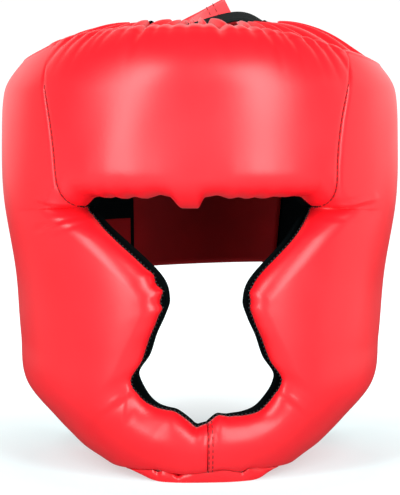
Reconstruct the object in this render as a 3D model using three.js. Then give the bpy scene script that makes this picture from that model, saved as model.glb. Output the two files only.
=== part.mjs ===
// Open-face kickboxing headgear: padded forehead, cheeks and chin bar, gathered open crown and a
// hook-and-loop closure at the back, standing on its chin hem and jaw edge.
// Millimetres and degrees. The front faces -Y and +Z is up. Azimuth 0 is the front, +90 is +X.
import * as THREE from "three";

// Driving sizes
const SECTION_POWER = 2.2; // squareness of the level sections
const MEAN_RADIUS = 105; // turns an azimuth into a run along the surface
const DEPTH_CENTRE = 1.35; // shift that puts the origin in the middle of the depth
const GAP = 0.35; // clear gap between neighbouring pieces
const SEAM_AZIMUTH_GAP = 0.22; // half a gap between two panels, as an angle
const EDGE_WALL = 2.5; // seam wall left at a rolled edge
const CROWN_ROLL = 34; // run over which the padding rolls in at the crown
const FACE_ROLL = 20; // the same at the face opening and the brow
const REAR_ROLL = 28; // the same at the rear and jaw edges
const SEAM_ROLL = 7; // run of the shallow groove beside a flat seam
const SEAM_DIP = 3; // depth of that groove
const LINING = 2.2; // lining thickness
const LINING_GAP = 2; // between a pad and its lining, over the pad's flat facets
const LINING_INSET = 6; // lining stops this far short of the crown edge
const LINING_BROW_INSET = 3; // and this far short of the brow
const LINING_SEAM_INSET = 0.006; // and this share of the forehead short of a seam
const LINING_FROM = 0.035; // where a cheek lining starts and ends along its pad
const LINING_TO = 0.996;
const JAW_INSET = 12; // it stops this far short of the rear and jaw edges
const JAW_INSET_SHARE = 1 / 3; // but at most this share of the pad's width
const NOSE_TAB_AZIMUTH = -3; // middle of the nose tab
const NOSE_TAB_DROP = 5.8; // how far the tab hangs below the brow
const NOSE_TAB_EDGE = 3.4; // half the azimuth of its flat edge
const NOSE_TAB_FOOT = 6.4; // half the azimuth that it takes up at the brow
const NOSE_TAB_CLEAR = 10; // the brow's gathers are full from here
const BROW_HEIGHT = 154.3; // lower edge of the forehead pad
const BROW_CORNER = 6.3; // fall of that edge at the eye corners
const BROW_CORNER_FROM = 37; // azimuths between which it falls
const BROW_CORNER_TO = 45;
const BROW_GATHER_END = 44; // azimuth where the brow's gathers end
const BROW_SCALLOP = 0.9; // half height of the brow's gathers
const BROW_PITCH = 7.4; // azimuth from one brow gather to the next
const CROWN_SCALLOP = 1.5; // half height of the crown's gathers
const CROWN_PITCH = 8.23; // azimuth from one crown gather to the next
const CROWN_GATHER_END = 64; // azimuth where the crown's gathers end
const GATHER_FADE = 8; // azimuth over which gathers fade out
const GATHER_RUN = 5; // how far the gathers reach from an edge
const PUCKER_DEPTH = 1.2; // half depth of the creases below the crown edge
const PUCKER_RUN = 9; // how far those creases reach down
const RING_THICKNESS = 2.4; // crown ring
const RING_DROP = 1; // how far the ring starts below the pads' top edge
const RING_LINING = 1.2; // crown lining
const RING_LINING_INSET = 4; // the lining starts this far inside the ring's outer edge
const RING_FOLDS = 28; // radial gathers round the crown
const RING_FOLD = 2; // half height of a gather at the inner edge
const FLAP_THICKNESS = 5; // rear flap
const FLAP_DEPTH = 11; // flap's outer face below the shell
const STRAP_THICKNESS = 4; // rear strap
const STRAP_DEPTH = 6.4; // strap's outer face below the shell
const SEWN_DEPTH = 21; // outer face of flap and strap where they are sewn to the pads
const HEM_HEIGHT = 7.6; // chin hem, floor to top
const HEM_FALL = 0.1; // drop of the hem's top for each degree away from the chin seam
const HEM_LEFT = -20; // hem's left end
const HEM_RIGHT = 23; // hem's right end
const HEM_FRONT = 4; // hem's front below the shell, on the floor
const HEM_TUCK = 9; // the same at its top, under the chin bar
const HEM_END = 3; // how far the front runs back at both ends
const HEM_END_FROM = 0.7; // share of the half length where it starts to
const HEM_BACK = 15.5; // hem's rear face below the shell
const EYE_AT = 0.38; // place along a cheek pad where the seam ends at the eye corner
const CHEEK_COLUMNS = 40; // stations along a cheek pad
const SEAM_SHARE = 14 / CHEEK_COLUMNS; // those beside the forehead seam
const JAW_AT = 0.57; // place along a cheek pad where the rear edge starts to turn into the jaw edge
const CHIN_NOTCH = 2.2; // dip of the chin bar's upper edge beside its seam
const CHIN_NOTCH_AZIMUTH = -6; // place of that dip from the seam
const CHIN_NOTCH_SPREAD = 4; // half its azimuth
const CHIN_FROM = 0.9; // the dip grows between these places along a cheek pad
const CHIN_FULL = 0.96;
const CROWN_ROLL_END = 0.3; // place along a cheek pad where the crown's roll has faded out
const CROWN_ROLL_FADE = 0.1; // places over which it fades
const EYE_HEIGHT = 148; // eye corner
const CROWN_SEAM_HEIGHT = 243.6; // upper end of the upright seams

// Facets along and across each piece, and how much they crowd towards its edges
const FOREHEAD_FACETS = [48, 9];
const FOREHEAD_CROWD = 0.65;
const CHEEK_ROWS = 10;
const CHEEK_CROWD = 0.7;
const SEAM_CROWD = 0.4;
const FACE_CROWD = 0.3;
const FOREHEAD_LINING_FACETS = [20, 4];
const CHEEK_LINING_FACETS = [28, 7];
const LINING_CROWD = 0.4;
const HEM_FACETS = [20, 3];
const RING_ROWS = 2;
const RING_FOLD_FACETS = 4;
const RING_LINING_FOLD_FACETS = 2;
const FLAP_FACETS = [20, 6];
const STRAP_FACETS = [22, 6];
const RIBBON_FACETS = [12, 2];

// Outer shell by height: half width, reach to front and back, padding below the surface
const SHELL = [
  { height: 0, halfWidth: 61, front: 103, back: 74, padding: 16 },
  { height: 10, halfWidth: 70, front: 109, back: 82, padding: 18 },
  { height: 25, halfWidth: 84.5, front: 114, back: 90, padding: 20 },
  { height: 45, halfWidth: 101, front: 116, back: 98, padding: 24 },
  { height: 70, halfWidth: 104, front: 115, back: 105, padding: 26 },
  { height: 105, halfWidth: 106.5, front: 113, back: 113, padding: 27 },
  { height: 150, halfWidth: 113.8, front: 110, back: 121, padding: 28 },
  { height: 190, halfWidth: 114.2, front: 108.5, back: 121, padding: 28 },
  { height: 212, halfWidth: 112.2, front: 106.5, back: 118, padding: 27.5 },
  { height: 225, halfWidth: 107.2, front: 104, back: 115, padding: 27 },
  { height: 250, halfWidth: 97, front: 97, back: 107, padding: 25 },
];

// Lean of the face: how far each level is turned about the upright axis
const TWIST = [
  { height: 0, turn: 2.2 },
  { height: 50, turn: 2.2 },
  { height: 97, turn: 2.1 },
  { height: 120, turn: 2 },
  { height: 134, turn: 1.2 },
  { height: 150, turn: -0.6 },
  { height: 175, turn: -1.8 },
  { height: 250, turn: -1.8 },
];

// Upright seam between forehead and cheek pad
const SEAM = [
  { height: 146, azimuth: 45.6 },
  { height: 163, azimuth: 42.6 },
  { height: 184, azimuth: 43.2 },
  { height: 206, azimuth: 46.1 },
  { height: 217, azimuth: 48.9 },
  { height: 226, azimuth: 53 },
  { height: 236, azimuth: 59.6 },
  { height: 246, azimuth: 64 },
];

// Rear edge of a cheek pad
const REAR = [
  { height: 60, azimuth: 117.5 },
  { height: 105, azimuth: 122 },
  { height: 135, azimuth: 124 },
  { height: 160, azimuth: 124 },
  { height: 200, azimuth: 122 },
  { height: 240, azimuth: 118 },
];

// Cheek pad from the crown to the chin seam: its face edge and its rear or jaw edge, and how far
// the lining's lip stands out at the face opening
const CHEEK = [
  { at: 0, faceAzimuth: 62, faceHeight: CROWN_SEAM_HEIGHT, backAzimuth: 118, backHeight: 238.4, lip: 0 },
  { at: 0.16, faceAzimuth: 47, faceHeight: 205, backAzimuth: 122, backHeight: 200, lip: 0 },
  { at: 0.3, faceAzimuth: 42.7, faceHeight: 165, backAzimuth: 124, backHeight: 160, lip: 0 },
  { at: EYE_AT, faceAzimuth: 45.2, faceHeight: EYE_HEIGHT, backAzimuth: 124, backHeight: 135, lip: 0 },
  { at: 0.47, faceAzimuth: 37, faceHeight: 132, backAzimuth: 122, backHeight: 105, lip: 4.5 },
  { at: JAW_AT, faceAzimuth: 20.5, faceHeight: 111, backAzimuth: 118, backHeight: 66, lip: 4.5 },
  { at: 0.65, faceAzimuth: 17, faceHeight: 98, backAzimuth: 113, backHeight: 32, lip: 4.2 },
  { at: 0.7, faceAzimuth: 18, faceHeight: 88, backAzimuth: 107, backHeight: 11, lip: 3.6 },
  { at: 0.74, faceAzimuth: 20, faceHeight: 78, backAzimuth: 98, backHeight: -1.5, lip: 3.2 },
  { at: 0.79, faceAzimuth: 23.8, faceHeight: 66, backAzimuth: 84, backHeight: -2.2, lip: 3.6 },
  { at: 0.84, faceAzimuth: 26.8, faceHeight: 54, backAzimuth: 66, backHeight: 0.8, lip: 4.6 },
  { at: 0.92, faceAzimuth: 18, faceHeight: 40, backAzimuth: 36, backHeight: 4, lip: 2.6 },
  { at: 1, faceAzimuth: 0, faceHeight: 32, backAzimuth: 0, backHeight: 8, lip: 1 },
];

// Crown line by azimuth to either side: height of the pads' top edge and where the ring starts
const CROWN = [
  { azimuth: 0, height: 246.8, ringDepth: 26 },
  { azimuth: 25, height: 246.6, ringDepth: 26.2 },
  { azimuth: 45, height: 245.4, ringDepth: 26.5 },
  { azimuth: 62, height: CROWN_SEAM_HEIGHT, ringDepth: 27 },
  { azimuth: 86, height: 241.3, ringDepth: 27 },
  { azimuth: 118, height: 238.4, ringDepth: 27 },
  { azimuth: 140, height: 238.6, ringDepth: 21 },
  { azimuth: 160, height: 239.4, ringDepth: 17.5 },
  { azimuth: 180, height: 240, ringDepth: 17.5 },
];

// Rise of the ring's inner edge over the crown line, left to right
const RING_RISE = [
  { azimuth: -180, rise: 12, width: 24 },
  { azimuth: -110, rise: 7, width: 24 },
  { azimuth: -60, rise: 5, width: 23 },
  { azimuth: -25, rise: 2, width: 22 },
  { azimuth: 0, rise: 2, width: 22 },
  { azimuth: 30, rise: 3.2, width: 22 },
  { azimuth: 70, rise: 6.5, width: 24 },
  { azimuth: 110, rise: 9, width: 24 },
  { azimuth: 180, rise: 12, width: 24 },
];

// Rear flap from its free end to the left pad
const FLAP = [
  { at: 0, bottom: 102, top: 232, depth: FLAP_DEPTH },
  { at: 0.6, bottom: 98.5, top: 236, depth: FLAP_DEPTH },
  { at: 0.8, bottom: 98, top: 236, depth: 13 },
  { at: 1, bottom: 97, top: 235, depth: SEWN_DEPTH },
];
const FLAP_END = 152;

// Rear strap from the right pad to its free end
const STRAP = [
  { at: 0, bottom: 68, top: 233, depth: SEWN_DEPTH },
  { at: 0.14, bottom: 80, top: 227, depth: 12 },
  { at: 0.3, bottom: 93, top: 213, depth: STRAP_DEPTH },
  { at: 0.5, bottom: 109, top: 193, depth: STRAP_DEPTH },
  { at: 0.7, bottom: 117, top: 182, depth: STRAP_DEPTH },
  { at: 1, bottom: 118, top: 179, depth: STRAP_DEPTH },
];
const STRAP_END = 214;

// Crown ribbons: middle line, and how far the width leans up from lying flat
const CROWN_STRAP = [
  { x: -57, y: 33, z: 233.7, lean: 4 },
  { x: -40, y: 33, z: 233.5, lean: 10 },
  { x: -19, y: 30, z: 239.4, lean: 48 },
  { x: 0, y: 28, z: 245.6, lean: 74 },
  { x: 18, y: 27, z: 253.2, lean: 78 },
];
const CROWN_TAB = [
  { x: -57, y: 8, z: 234, lean: 3 },
  { x: -36, y: 8, z: 238.5, lean: 8 },
  { x: -8, y: 8, z: 245.6, lean: 12 },
  { x: 21, y: 8, z: 253.2, lean: 12 },
  { x: 36, y: 8, z: 248.6, lean: 8 },
  { x: 46, y: 8, z: 240.2, lean: 3 },
  { x: 54, y: 8, z: 234.4, lean: 1 },
];
const RIBBON_WIDTH = 22;
const RIBBON_THICKNESS = 2;

// Main creases of the cheek pads, as runs of azimuth and height; side 1 is +X
const CREASES = [
  { side: -1, fromAzimuth: 42, fromHeight: 147, toAzimuth: 55, toHeight: 153, depth: 2.8, width: 6 },
  { side: -1, fromAzimuth: 40, fromHeight: 143, toAzimuth: 53, toHeight: 134, depth: 2.4, width: 7 },
  { side: 1, fromAzimuth: 40, fromHeight: 143, toAzimuth: 59, toHeight: 148, depth: 3.2, width: 8 },
  { side: -1, fromAzimuth: 26, fromHeight: 51, toAzimuth: 35, toHeight: 31, depth: 2.6, width: 7 },
  { side: -1, fromAzimuth: 24, fromHeight: 48, toAzimuth: 23, toHeight: 25, depth: 2, width: 6 },
  { side: 1, fromAzimuth: 26, fromHeight: 51, toAzimuth: 34, toHeight: 29, depth: 2.8, width: 7 },
  { side: -1, fromAzimuth: 17, fromHeight: 99, toAzimuth: 24, toHeight: 105, depth: 2, width: 5 },
  { side: 1, fromAzimuth: 17, fromHeight: 94, toAzimuth: 25, toHeight: 97, depth: 2, width: 5 },
];

const lerp = THREE.MathUtils.lerp;
const clamp = THREE.MathUtils.clamp;
const smoothstep = THREE.MathUtils.smoothstep;
const RADIAN = THREE.MathUtils.DEG2RAD;

// A smooth curve through one column of a table, by another column that grows
function curve(table, by, name) {
  const x = table.map((row) => row[by]);
  const y = table.map((row) => row[name]);
  const last = x.length - 1;
  const slope = y.map((_, i) => {
    const a = Math.max(i - 1, 0);
    const b = Math.min(i + 1, last);
    return (y[b] - y[a]) / (x[b] - x[a]);
  });
  return (at) => {
    const place = clamp(at, x[0], x[last]);
    let i = 0;
    while (i < last - 1 && x[i + 1] <= place) {
      i += 1;
    }
    const run = x[i + 1] - x[i];
    const t = (place - x[i]) / run;
    const rise = y[i + 1] - y[i];
    const bend = slope[i] * run - rise;
    const bendBack = rise - slope[i + 1] * run;
    return lerp(y[i], y[i + 1], t) + t * (1 - t) * lerp(bend, bendBack, t);
  };
}

const halfWidth = curve(SHELL, "height", "halfWidth");
const frontReach = curve(SHELL, "height", "front");
const backReach = curve(SHELL, "height", "back");
const padding = curve(SHELL, "height", "padding");
const twist = curve(TWIST, "height", "turn");
const seamAzimuth = curve(SEAM, "height", "azimuth");
const rearAzimuth = curve(REAR, "height", "azimuth");
const crownHeight = curve(CROWN, "azimuth", "height");
const ringDepth = curve(CROWN, "azimuth", "ringDepth");
const ringRise = curve(RING_RISE, "azimuth", "rise");
const ringWidth = curve(RING_RISE, "azimuth", "width");

// A point at a depth below the shell
function shell(azimuth, height, depth) {
  const level = Math.max(height, 0);
  const turned = (azimuth + twist(level) * Math.cos(azimuth * RADIAN / 2) ** 2) * RADIAN;
  const s = Math.sin(turned);
  const c = Math.cos(turned);
  const reach = c > 0 ? frontReach(level) : backReach(level);
  const sum = (Math.abs(s) / halfWidth(level)) ** SECTION_POWER + (Math.abs(c) / reach) ** SECTION_POWER;
  const radius = sum ** (-1 / SECTION_POWER) - depth;
  return [radius * s, -radius * c, level];
}

// Share of the full roll at a distance from an edge: 1 at the edge, 0 beyond the roll
function roll(distance, radius) {
  const t = clamp(1 - distance / radius, 0, 1);
  return 1 - Math.sqrt(1 - t * t);
}

// Puts stations closer together towards both ends
function crowd(t, share) {
  return t - share * Math.sin(2 * Math.PI * t) / (2 * Math.PI);
}

// Depth of the main creases at a place on a cheek pad
function creaseDepth(side, azimuth, height) {
  let total = 0;
  for (const row of CREASES.filter((crease) => crease.side === side)) {
    const along = (row.toAzimuth - row.fromAzimuth) * RADIAN * MEAN_RADIUS;
    const up = row.toHeight - row.fromHeight;
    const dx = (azimuth - row.fromAzimuth) * RADIAN * MEAN_RADIUS;
    const dz = height - row.fromHeight;
    const t = clamp((dx * along + dz * up) / (along * along + up * up), 0, 1);
    const away = Math.hypot(dx - t * along, dz - t * up) / row.width;
    total += row.depth * (1 - t * t) * Math.exp(-away * away);
  }
  return total;
}

// A closed slab between two surfaces over u and v; a ring joins up in u
function slab(columns, rows, outer, inner, ring = false) {
  const stations = ring ? columns : columns + 1;
  const points = [];
  for (const surface of [outer, inner]) {
    for (let i = 0; i < stations; i += 1) {
      for (let j = 0; j <= rows; j += 1) {
        points.push(...surface(i / columns, j / rows));
      }
    }
  }
  const sheet = stations * (rows + 1);
  const at = (side, i, j) => side * sheet + (i % stations) * (rows + 1) + j;
  const index = [];
  const quad = (a, b, c, d) => index.push(a, b, c, a, c, d);
  for (let i = 0; i < columns; i += 1) {
    for (let j = 0; j < rows; j += 1) {
      quad(at(0, i, j), at(0, i + 1, j), at(0, i + 1, j + 1), at(0, i, j + 1));
      quad(at(1, i, j), at(1, i, j + 1), at(1, i + 1, j + 1), at(1, i + 1, j));
    }
    quad(at(0, i, 0), at(1, i, 0), at(1, i + 1, 0), at(0, i + 1, 0));
    quad(at(0, i, rows), at(0, i + 1, rows), at(1, i + 1, rows), at(1, i, rows));
  }
  for (let j = 0; j < rows && !ring; j += 1) {
    quad(at(0, 0, j), at(0, 0, j + 1), at(1, 0, j + 1), at(1, 0, j));
    quad(at(0, columns, j), at(1, columns, j), at(1, columns, j + 1), at(0, columns, j + 1));
  }
  return facingOut(points, index);
}

// A geometry with its faces outwards
function facingOut(points, index) {
  const corner = (k) => new THREE.Vector3().fromArray(points, 3 * index[k]);
  let volume = 0;
  for (let k = 0; k < index.length; k += 3) {
    volume += corner(k).dot(corner(k + 1).cross(corner(k + 2)));
  }
  if (volume < 0) {
    index.reverse();
  }
  const geometry = new THREE.BufferGeometry();
  geometry.setAttribute("position", new THREE.Float32BufferAttribute(points, 3));
  geometry.setIndex(index);
  geometry.computeVertexNormals();
  return geometry;
}

// Forehead pad: u from the left to the right seam, v from the brow to the crown
function crownGather(azimuth) {
  const inside = smoothstep(CROWN_GATHER_END - Math.abs(azimuth), 0, GATHER_FADE);
  return Math.cos(2 * Math.PI * azimuth / CROWN_PITCH) * inside;
}

function browEdge(azimuth) {
  const fromTab = Math.abs(azimuth - NOSE_TAB_AZIMUTH);
  const tab = NOSE_TAB_DROP * (1 - smoothstep(fromTab, NOSE_TAB_EDGE, NOSE_TAB_FOOT));
  const corner = BROW_CORNER * smoothstep(Math.abs(azimuth), BROW_CORNER_FROM, BROW_CORNER_TO);
  return BROW_HEIGHT - tab - corner;
}

function browGather(azimuth) {
  const clear = smoothstep(Math.abs(azimuth - NOSE_TAB_AZIMUTH), NOSE_TAB_FOOT, NOSE_TAB_CLEAR);
  const inside = smoothstep(BROW_GATHER_END - Math.abs(azimuth), 0, GATHER_FADE);
  return Math.cos(2 * Math.PI * azimuth / BROW_PITCH) * clear * inside;
}

function foreheadPlace(u, v) {
  const side = 2 * u - 1;
  const low = browEdge(side * seamAzimuth(EYE_HEIGHT));
  const high = crownHeight(Math.abs(side) * seamAzimuth(CROWN_SEAM_HEIGHT));
  const level = lerp(low, high, v);
  const above = level - low;
  const below = high - level;
  const reach = seamAzimuth(level) - SEAM_AZIMUTH_GAP;
  const azimuth = side * reach;
  const rim = CROWN_SCALLOP * crownGather(azimuth) * Math.exp(-below / GATHER_RUN);
  const brow = BROW_SCALLOP * browGather(azimuth) * Math.exp(-above / GATHER_RUN);
  const beside = (1 - Math.abs(side)) * reach * RADIAN * MEAN_RADIUS;
  return { azimuth, height: level + rim - brow, above, below, beside };
}

function foreheadDepth(place) {
  const full = padding(place.height) - EDGE_WALL;
  const groove = SEAM_DIP / full * roll(place.beside, SEAM_ROLL);
  const crown = roll(place.below, CROWN_ROLL);
  const brow = roll(place.above, FACE_ROLL);
  const wave = 1 - crownGather(place.azimuth);
  const pucker = PUCKER_DEPTH * wave * Math.exp(-place.below / PUCKER_RUN) * (1 - crown);
  return full * (1 - (1 - groove) * (1 - crown) * (1 - brow)) + pucker;
}

function foreheadPad() {
  const spread = (v) => crowd(v, FOREHEAD_CROWD);
  const outer = (u, v) => {
    const place = foreheadPlace(u, spread(v));
    return shell(place.azimuth, place.height, foreheadDepth(place));
  };
  const inner = (u, v) => {
    const place = foreheadPlace(u, spread(v));
    return shell(place.azimuth, place.height, padding(place.height));
  };
  return slab(...FOREHEAD_FACETS, outer, inner);
}

function foreheadLining() {
  const surface = (depth) => (u, v) => {
    const place = foreheadPlace(lerp(LINING_SEAM_INSET, 1 - LINING_SEAM_INSET, u), 0.5);
    const low = foreheadPlace(u, 0).height + LINING_BROW_INSET;
    const high = crownHeight(Math.abs(place.azimuth)) - LINING_INSET;
    const height = lerp(low, high, v);
    const reach = seamAzimuth(height) - 3 * SEAM_AZIMUTH_GAP;
    return shell((2 * u - 1) * reach, height, padding(height) + depth);
  };
  return slab(...FOREHEAD_LINING_FACETS, surface(LINING_GAP), surface(LINING_GAP + LINING));
}

// Cheek pads: u from the crown to the chin seam, v from the face edge to the rear and jaw edge
const faceHeight = curve(CHEEK, "at", "faceHeight");
const faceOpening = curve(CHEEK, "at", "faceAzimuth");
const backHeight = curve(CHEEK, "at", "backHeight");
const backOpening = curve(CHEEK, "at", "backAzimuth");
const lipReach = curve(CHEEK, "at", "lip");

function cheekPlace(side, u, v) {
  const face = u < EYE_AT ? seamAzimuth(faceHeight(u)) : faceOpening(u);
  const fromNotch = (side * face - CHIN_NOTCH_AZIMUTH) / CHIN_NOTCH_SPREAD;
  const notch = u > EYE_AT ? CHIN_NOTCH * Math.exp(-fromNotch * fromNotch) : 0;
  const low = faceHeight(u) - notch * smoothstep(u, CHIN_FROM, CHIN_FULL);
  const high = backHeight(u);
  const back = u < JAW_AT ? rearAzimuth(high) : backOpening(u);
  const width = Math.hypot((back - face) * RADIAN * MEAN_RADIUS, high - low);
  const azimuth = lerp(face, back, v) + SEAM_AZIMUTH_GAP;
  const height = lerp(low, high, v);
  return { azimuth, height, width, fromFace: v * width, fromBack: (1 - v) * width };
}

function cheekDepth(side, u, place) {
  const full = padding(place.height) - EDGE_WALL;
  const opened = u < EYE_AT ? roll(faceHeight(u) - faceHeight(EYE_AT), FACE_ROLL) : 1;
  const faceRun = Math.min(lerp(SEAM_ROLL, FACE_ROLL, Math.sqrt(opened)), place.width / 2);
  const faceShare = 1 - (1 - SEAM_DIP / full) * (1 - opened);
  const backRun = Math.min(REAR_ROLL, place.width / 2);
  const face = faceShare * roll(place.fromFace, faceRun);
  const back = roll(place.fromBack, backRun);
  const below = crownHeight(place.azimuth) - place.height;
  const crown = roll(below, CROWN_ROLL) * smoothstep(CROWN_ROLL_END - u, 0, CROWN_ROLL_FADE);
  const seam = SEAM_DIP / full * roll(place.azimuth * RADIAN * MEAN_RADIUS, SEAM_ROLL);
  const rolled = full * (1 - (1 - face) * (1 - back) * (1 - crown) * (1 - seam));
  return Math.min(rolled + creaseDepth(side, place.azimuth, place.height), full);
}

// Stations along a cheek pad, one of them at the eye corner
function cheekStation(t) {
  if (t < SEAM_SHARE) {
    return EYE_AT * crowd(t / SEAM_SHARE, SEAM_CROWD);
  }
  return lerp(EYE_AT, 1, crowd((t - SEAM_SHARE) / (1 - SEAM_SHARE), FACE_CROWD));
}

function cheekPad(side) {
  const spread = (t) => crowd(t, CHEEK_CROWD);
  const outer = (u, v) => {
    const along = cheekStation(u);
    const place = cheekPlace(side, along, spread(v));
    return shell(side * place.azimuth, place.height, cheekDepth(side, along, place));
  };
  const inner = (u, v) => {
    const place = cheekPlace(side, cheekStation(u), spread(v));
    return shell(side * place.azimuth, place.height, padding(place.height));
  };
  return slab(CHEEK_COLUMNS, CHEEK_ROWS, outer, inner);
}

function cheekLining(side) {
  const surface = (depth) => (u, v) => {
    const along = lerp(LINING_FROM, LINING_TO, crowd(u, FACE_CROWD));
    const whole = cheekPlace(side, along, 0.5).width;
    const from = -lipReach(along) / whole;
    const to = 1 - Math.min(JAW_INSET / whole, JAW_INSET_SHARE);
    const place = cheekPlace(side, along, lerp(from, to, crowd(v, LINING_CROWD)));
    return shell(side * (place.azimuth + 3 * SEAM_AZIMUTH_GAP), place.height, padding(place.height) + depth);
  };
  return slab(...CHEEK_LINING_FACETS, surface(LINING_GAP), surface(LINING_GAP + LINING));
}

// Chin hem: u along the chin, v from the floor up; its front leans back under the chin bar
function chinHem() {
  const place = (u, v) => {
    const azimuth = lerp(HEM_LEFT, HEM_RIGHT, u);
    return { azimuth, height: v * (HEM_HEIGHT - HEM_FALL * Math.abs(azimuth)) };
  };
  const front = (u, v) => {
    const { azimuth, height } = place(u, v);
    const end = HEM_END * smoothstep(Math.abs(2 * u - 1), HEM_END_FROM, 1);
    return shell(azimuth, height, lerp(HEM_FRONT, HEM_TUCK, v * v) + end);
  };
  const behind = (u, v) => {
    const { azimuth, height } = place(u, v);
    return shell(azimuth, height, HEM_BACK);
  };
  return slab(...HEM_FACETS, front, behind);
}

// Crown ring: u round the crown from the back, v from the pads inwards
function ringPoint(u, v, lift, inset) {
  const azimuth = 360 * u - 180;
  const around = Math.abs(azimuth);
  const start = ringDepth(around) + GAP + inset;
  const depth = start + v * (ringWidth(azimuth) - inset);
  const dome = Math.sin(v * Math.PI / 2);
  const height = crownHeight(around) - RING_DROP + dome * ringRise(azimuth) + lift;
  return shell(azimuth, height, depth);
}

function crownRing() {
  const gathered = (u, v) => {
    const wave = 1 + Math.cos(RING_FOLDS * 2 * Math.PI * u);
    return ringPoint(u, v, RING_FOLD * v * wave, 0);
  };
  const underside = (u, v) => ringPoint(u, v, -RING_THICKNESS, 0);
  return slab(RING_FOLDS * RING_FOLD_FACETS, RING_ROWS, gathered, underside, true);
}

function crownLining() {
  const top = -RING_THICKNESS - LINING_GAP;
  const surface = (below) => (u, v) => ringPoint(u, v, top - below, RING_LINING_INSET);
  return slab(RING_FOLDS * RING_LINING_FOLD_FACETS, RING_ROWS, surface(0), surface(RING_LINING), true);
}

// Rear flap and strap: u along the band, v from its lower to its upper edge
function band(table, from, to, thickness, facets) {
  const bottom = curve(table, "at", "bottom");
  const top = curve(table, "at", "top");
  const outside = curve(table, "at", "depth");
  const surface = (depth) => (u, v) => {
    const height = lerp(bottom(u), top(u), v);
    return shell(lerp(from(height), to(height), u), height, outside(u) + depth);
  };
  return slab(...facets, surface(0), surface(thickness));
}

function backFlap() {
  const sewn = (height) => 360 - rearAzimuth(height) - 4 * SEAM_AZIMUTH_GAP;
  return band(FLAP, () => FLAP_END, sewn, FLAP_THICKNESS, FLAP_FACETS);
}

function backStrap() {
  const sewn = (height) => rearAzimuth(height) + 4 * SEAM_AZIMUTH_GAP;
  return band(STRAP, sewn, () => STRAP_END, STRAP_THICKNESS, STRAP_FACETS);
}

// Crown ribbons: u along the ribbon, v across it
function ribbon(table) {
  const path = new THREE.CatmullRomCurve3(table.map((row) => new THREE.Vector3(row.x, row.y, row.z)));
  const lean = table.map((row, i) => ({ at: i / (table.length - 1), lean: row.lean }));
  const leanAt = curve(lean, "at", "lean");
  const surface = (lift) => (u, v) => {
    const along = path.getTangent(u);
    const flat = new THREE.Vector3(0, 1, 0).addScaledVector(along, -along.y).normalize();
    const up = new THREE.Vector3().crossVectors(along, flat).normalize();
    const angle = leanAt(u) * RADIAN;
    const across = flat.clone().multiplyScalar(Math.cos(angle)).addScaledVector(up, Math.sin(angle));
    const normal = new THREE.Vector3().crossVectors(along, across);
    const point = path.getPoint(u).addScaledVector(across, (v - 0.5) * RIBBON_WIDTH);
    return point.addScaledVector(normal, lift).toArray();
  };
  return slab(...RIBBON_FACETS, surface(RIBBON_THICKNESS / 2), surface(-RIBBON_THICKNESS / 2));
}

// Finishes
const leather = new THREE.MeshStandardMaterial({ name: "leather_red", color: 0xe3212d, roughness: 0.45 });
const lining = new THREE.MeshStandardMaterial({ name: "lining_black", color: 0x0c0f10, roughness: 0.9 });
const tape = new THREE.MeshStandardMaterial({ name: "loop_tape_black", color: 0x101214, roughness: 1 });

const headgear = new THREE.Group();
headgear.name = "kickboxing_headgear";
headgear.position.y = -DEPTH_CENTRE;

function place(name, geometry, material) {
  const mesh = new THREE.Mesh(geometry, material);
  mesh.name = name;
  headgear.add(mesh);
}

place("forehead_pad", foreheadPad(), leather);
place("cheek_pad_left", cheekPad(-1), leather);
place("cheek_pad_right", cheekPad(1), leather);
place("chin_hem", chinHem(), leather);
place("crown_ring", crownRing(), leather);
place("crown_lining", crownLining(), lining);
place("lining_forehead", foreheadLining(), lining);
place("lining_left", cheekLining(-1), lining);
place("lining_right", cheekLining(1), lining);
place("back_flap", backFlap(), leather);
place("back_strap", backStrap(), leather);
place("crown_strap", ribbon(CROWN_STRAP), leather);
place("crown_tab", ribbon(CROWN_TAB), tape);

export default headgear;
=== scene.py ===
"""Looks of an open-face kickboxing headgear: padded red coated leather, black woven lining, gathered crown.

Sizes are in millimetres and degrees until a mesh is made. The front faces -Y and +Z is up; azimuth 0 is
the front and +90 is +X. The shell follows the solids' own table of sections; the panels add gathers,
folds and rolled edges that are too fine for the solids.
"""
import math

import bpy
import numpy as np
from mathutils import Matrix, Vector


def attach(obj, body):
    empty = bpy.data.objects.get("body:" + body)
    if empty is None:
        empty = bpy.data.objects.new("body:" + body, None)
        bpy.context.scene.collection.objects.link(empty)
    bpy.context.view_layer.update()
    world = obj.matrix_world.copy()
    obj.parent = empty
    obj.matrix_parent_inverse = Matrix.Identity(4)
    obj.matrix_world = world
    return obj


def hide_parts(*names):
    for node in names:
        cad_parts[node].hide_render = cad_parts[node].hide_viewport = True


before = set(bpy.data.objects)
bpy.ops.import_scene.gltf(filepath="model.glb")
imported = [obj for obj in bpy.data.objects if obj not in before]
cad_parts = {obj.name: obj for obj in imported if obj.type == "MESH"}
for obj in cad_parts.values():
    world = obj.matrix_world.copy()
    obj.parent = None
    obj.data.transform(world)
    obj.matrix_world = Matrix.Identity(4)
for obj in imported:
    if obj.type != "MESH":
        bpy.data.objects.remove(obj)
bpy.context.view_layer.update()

MM = 0.001

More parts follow.
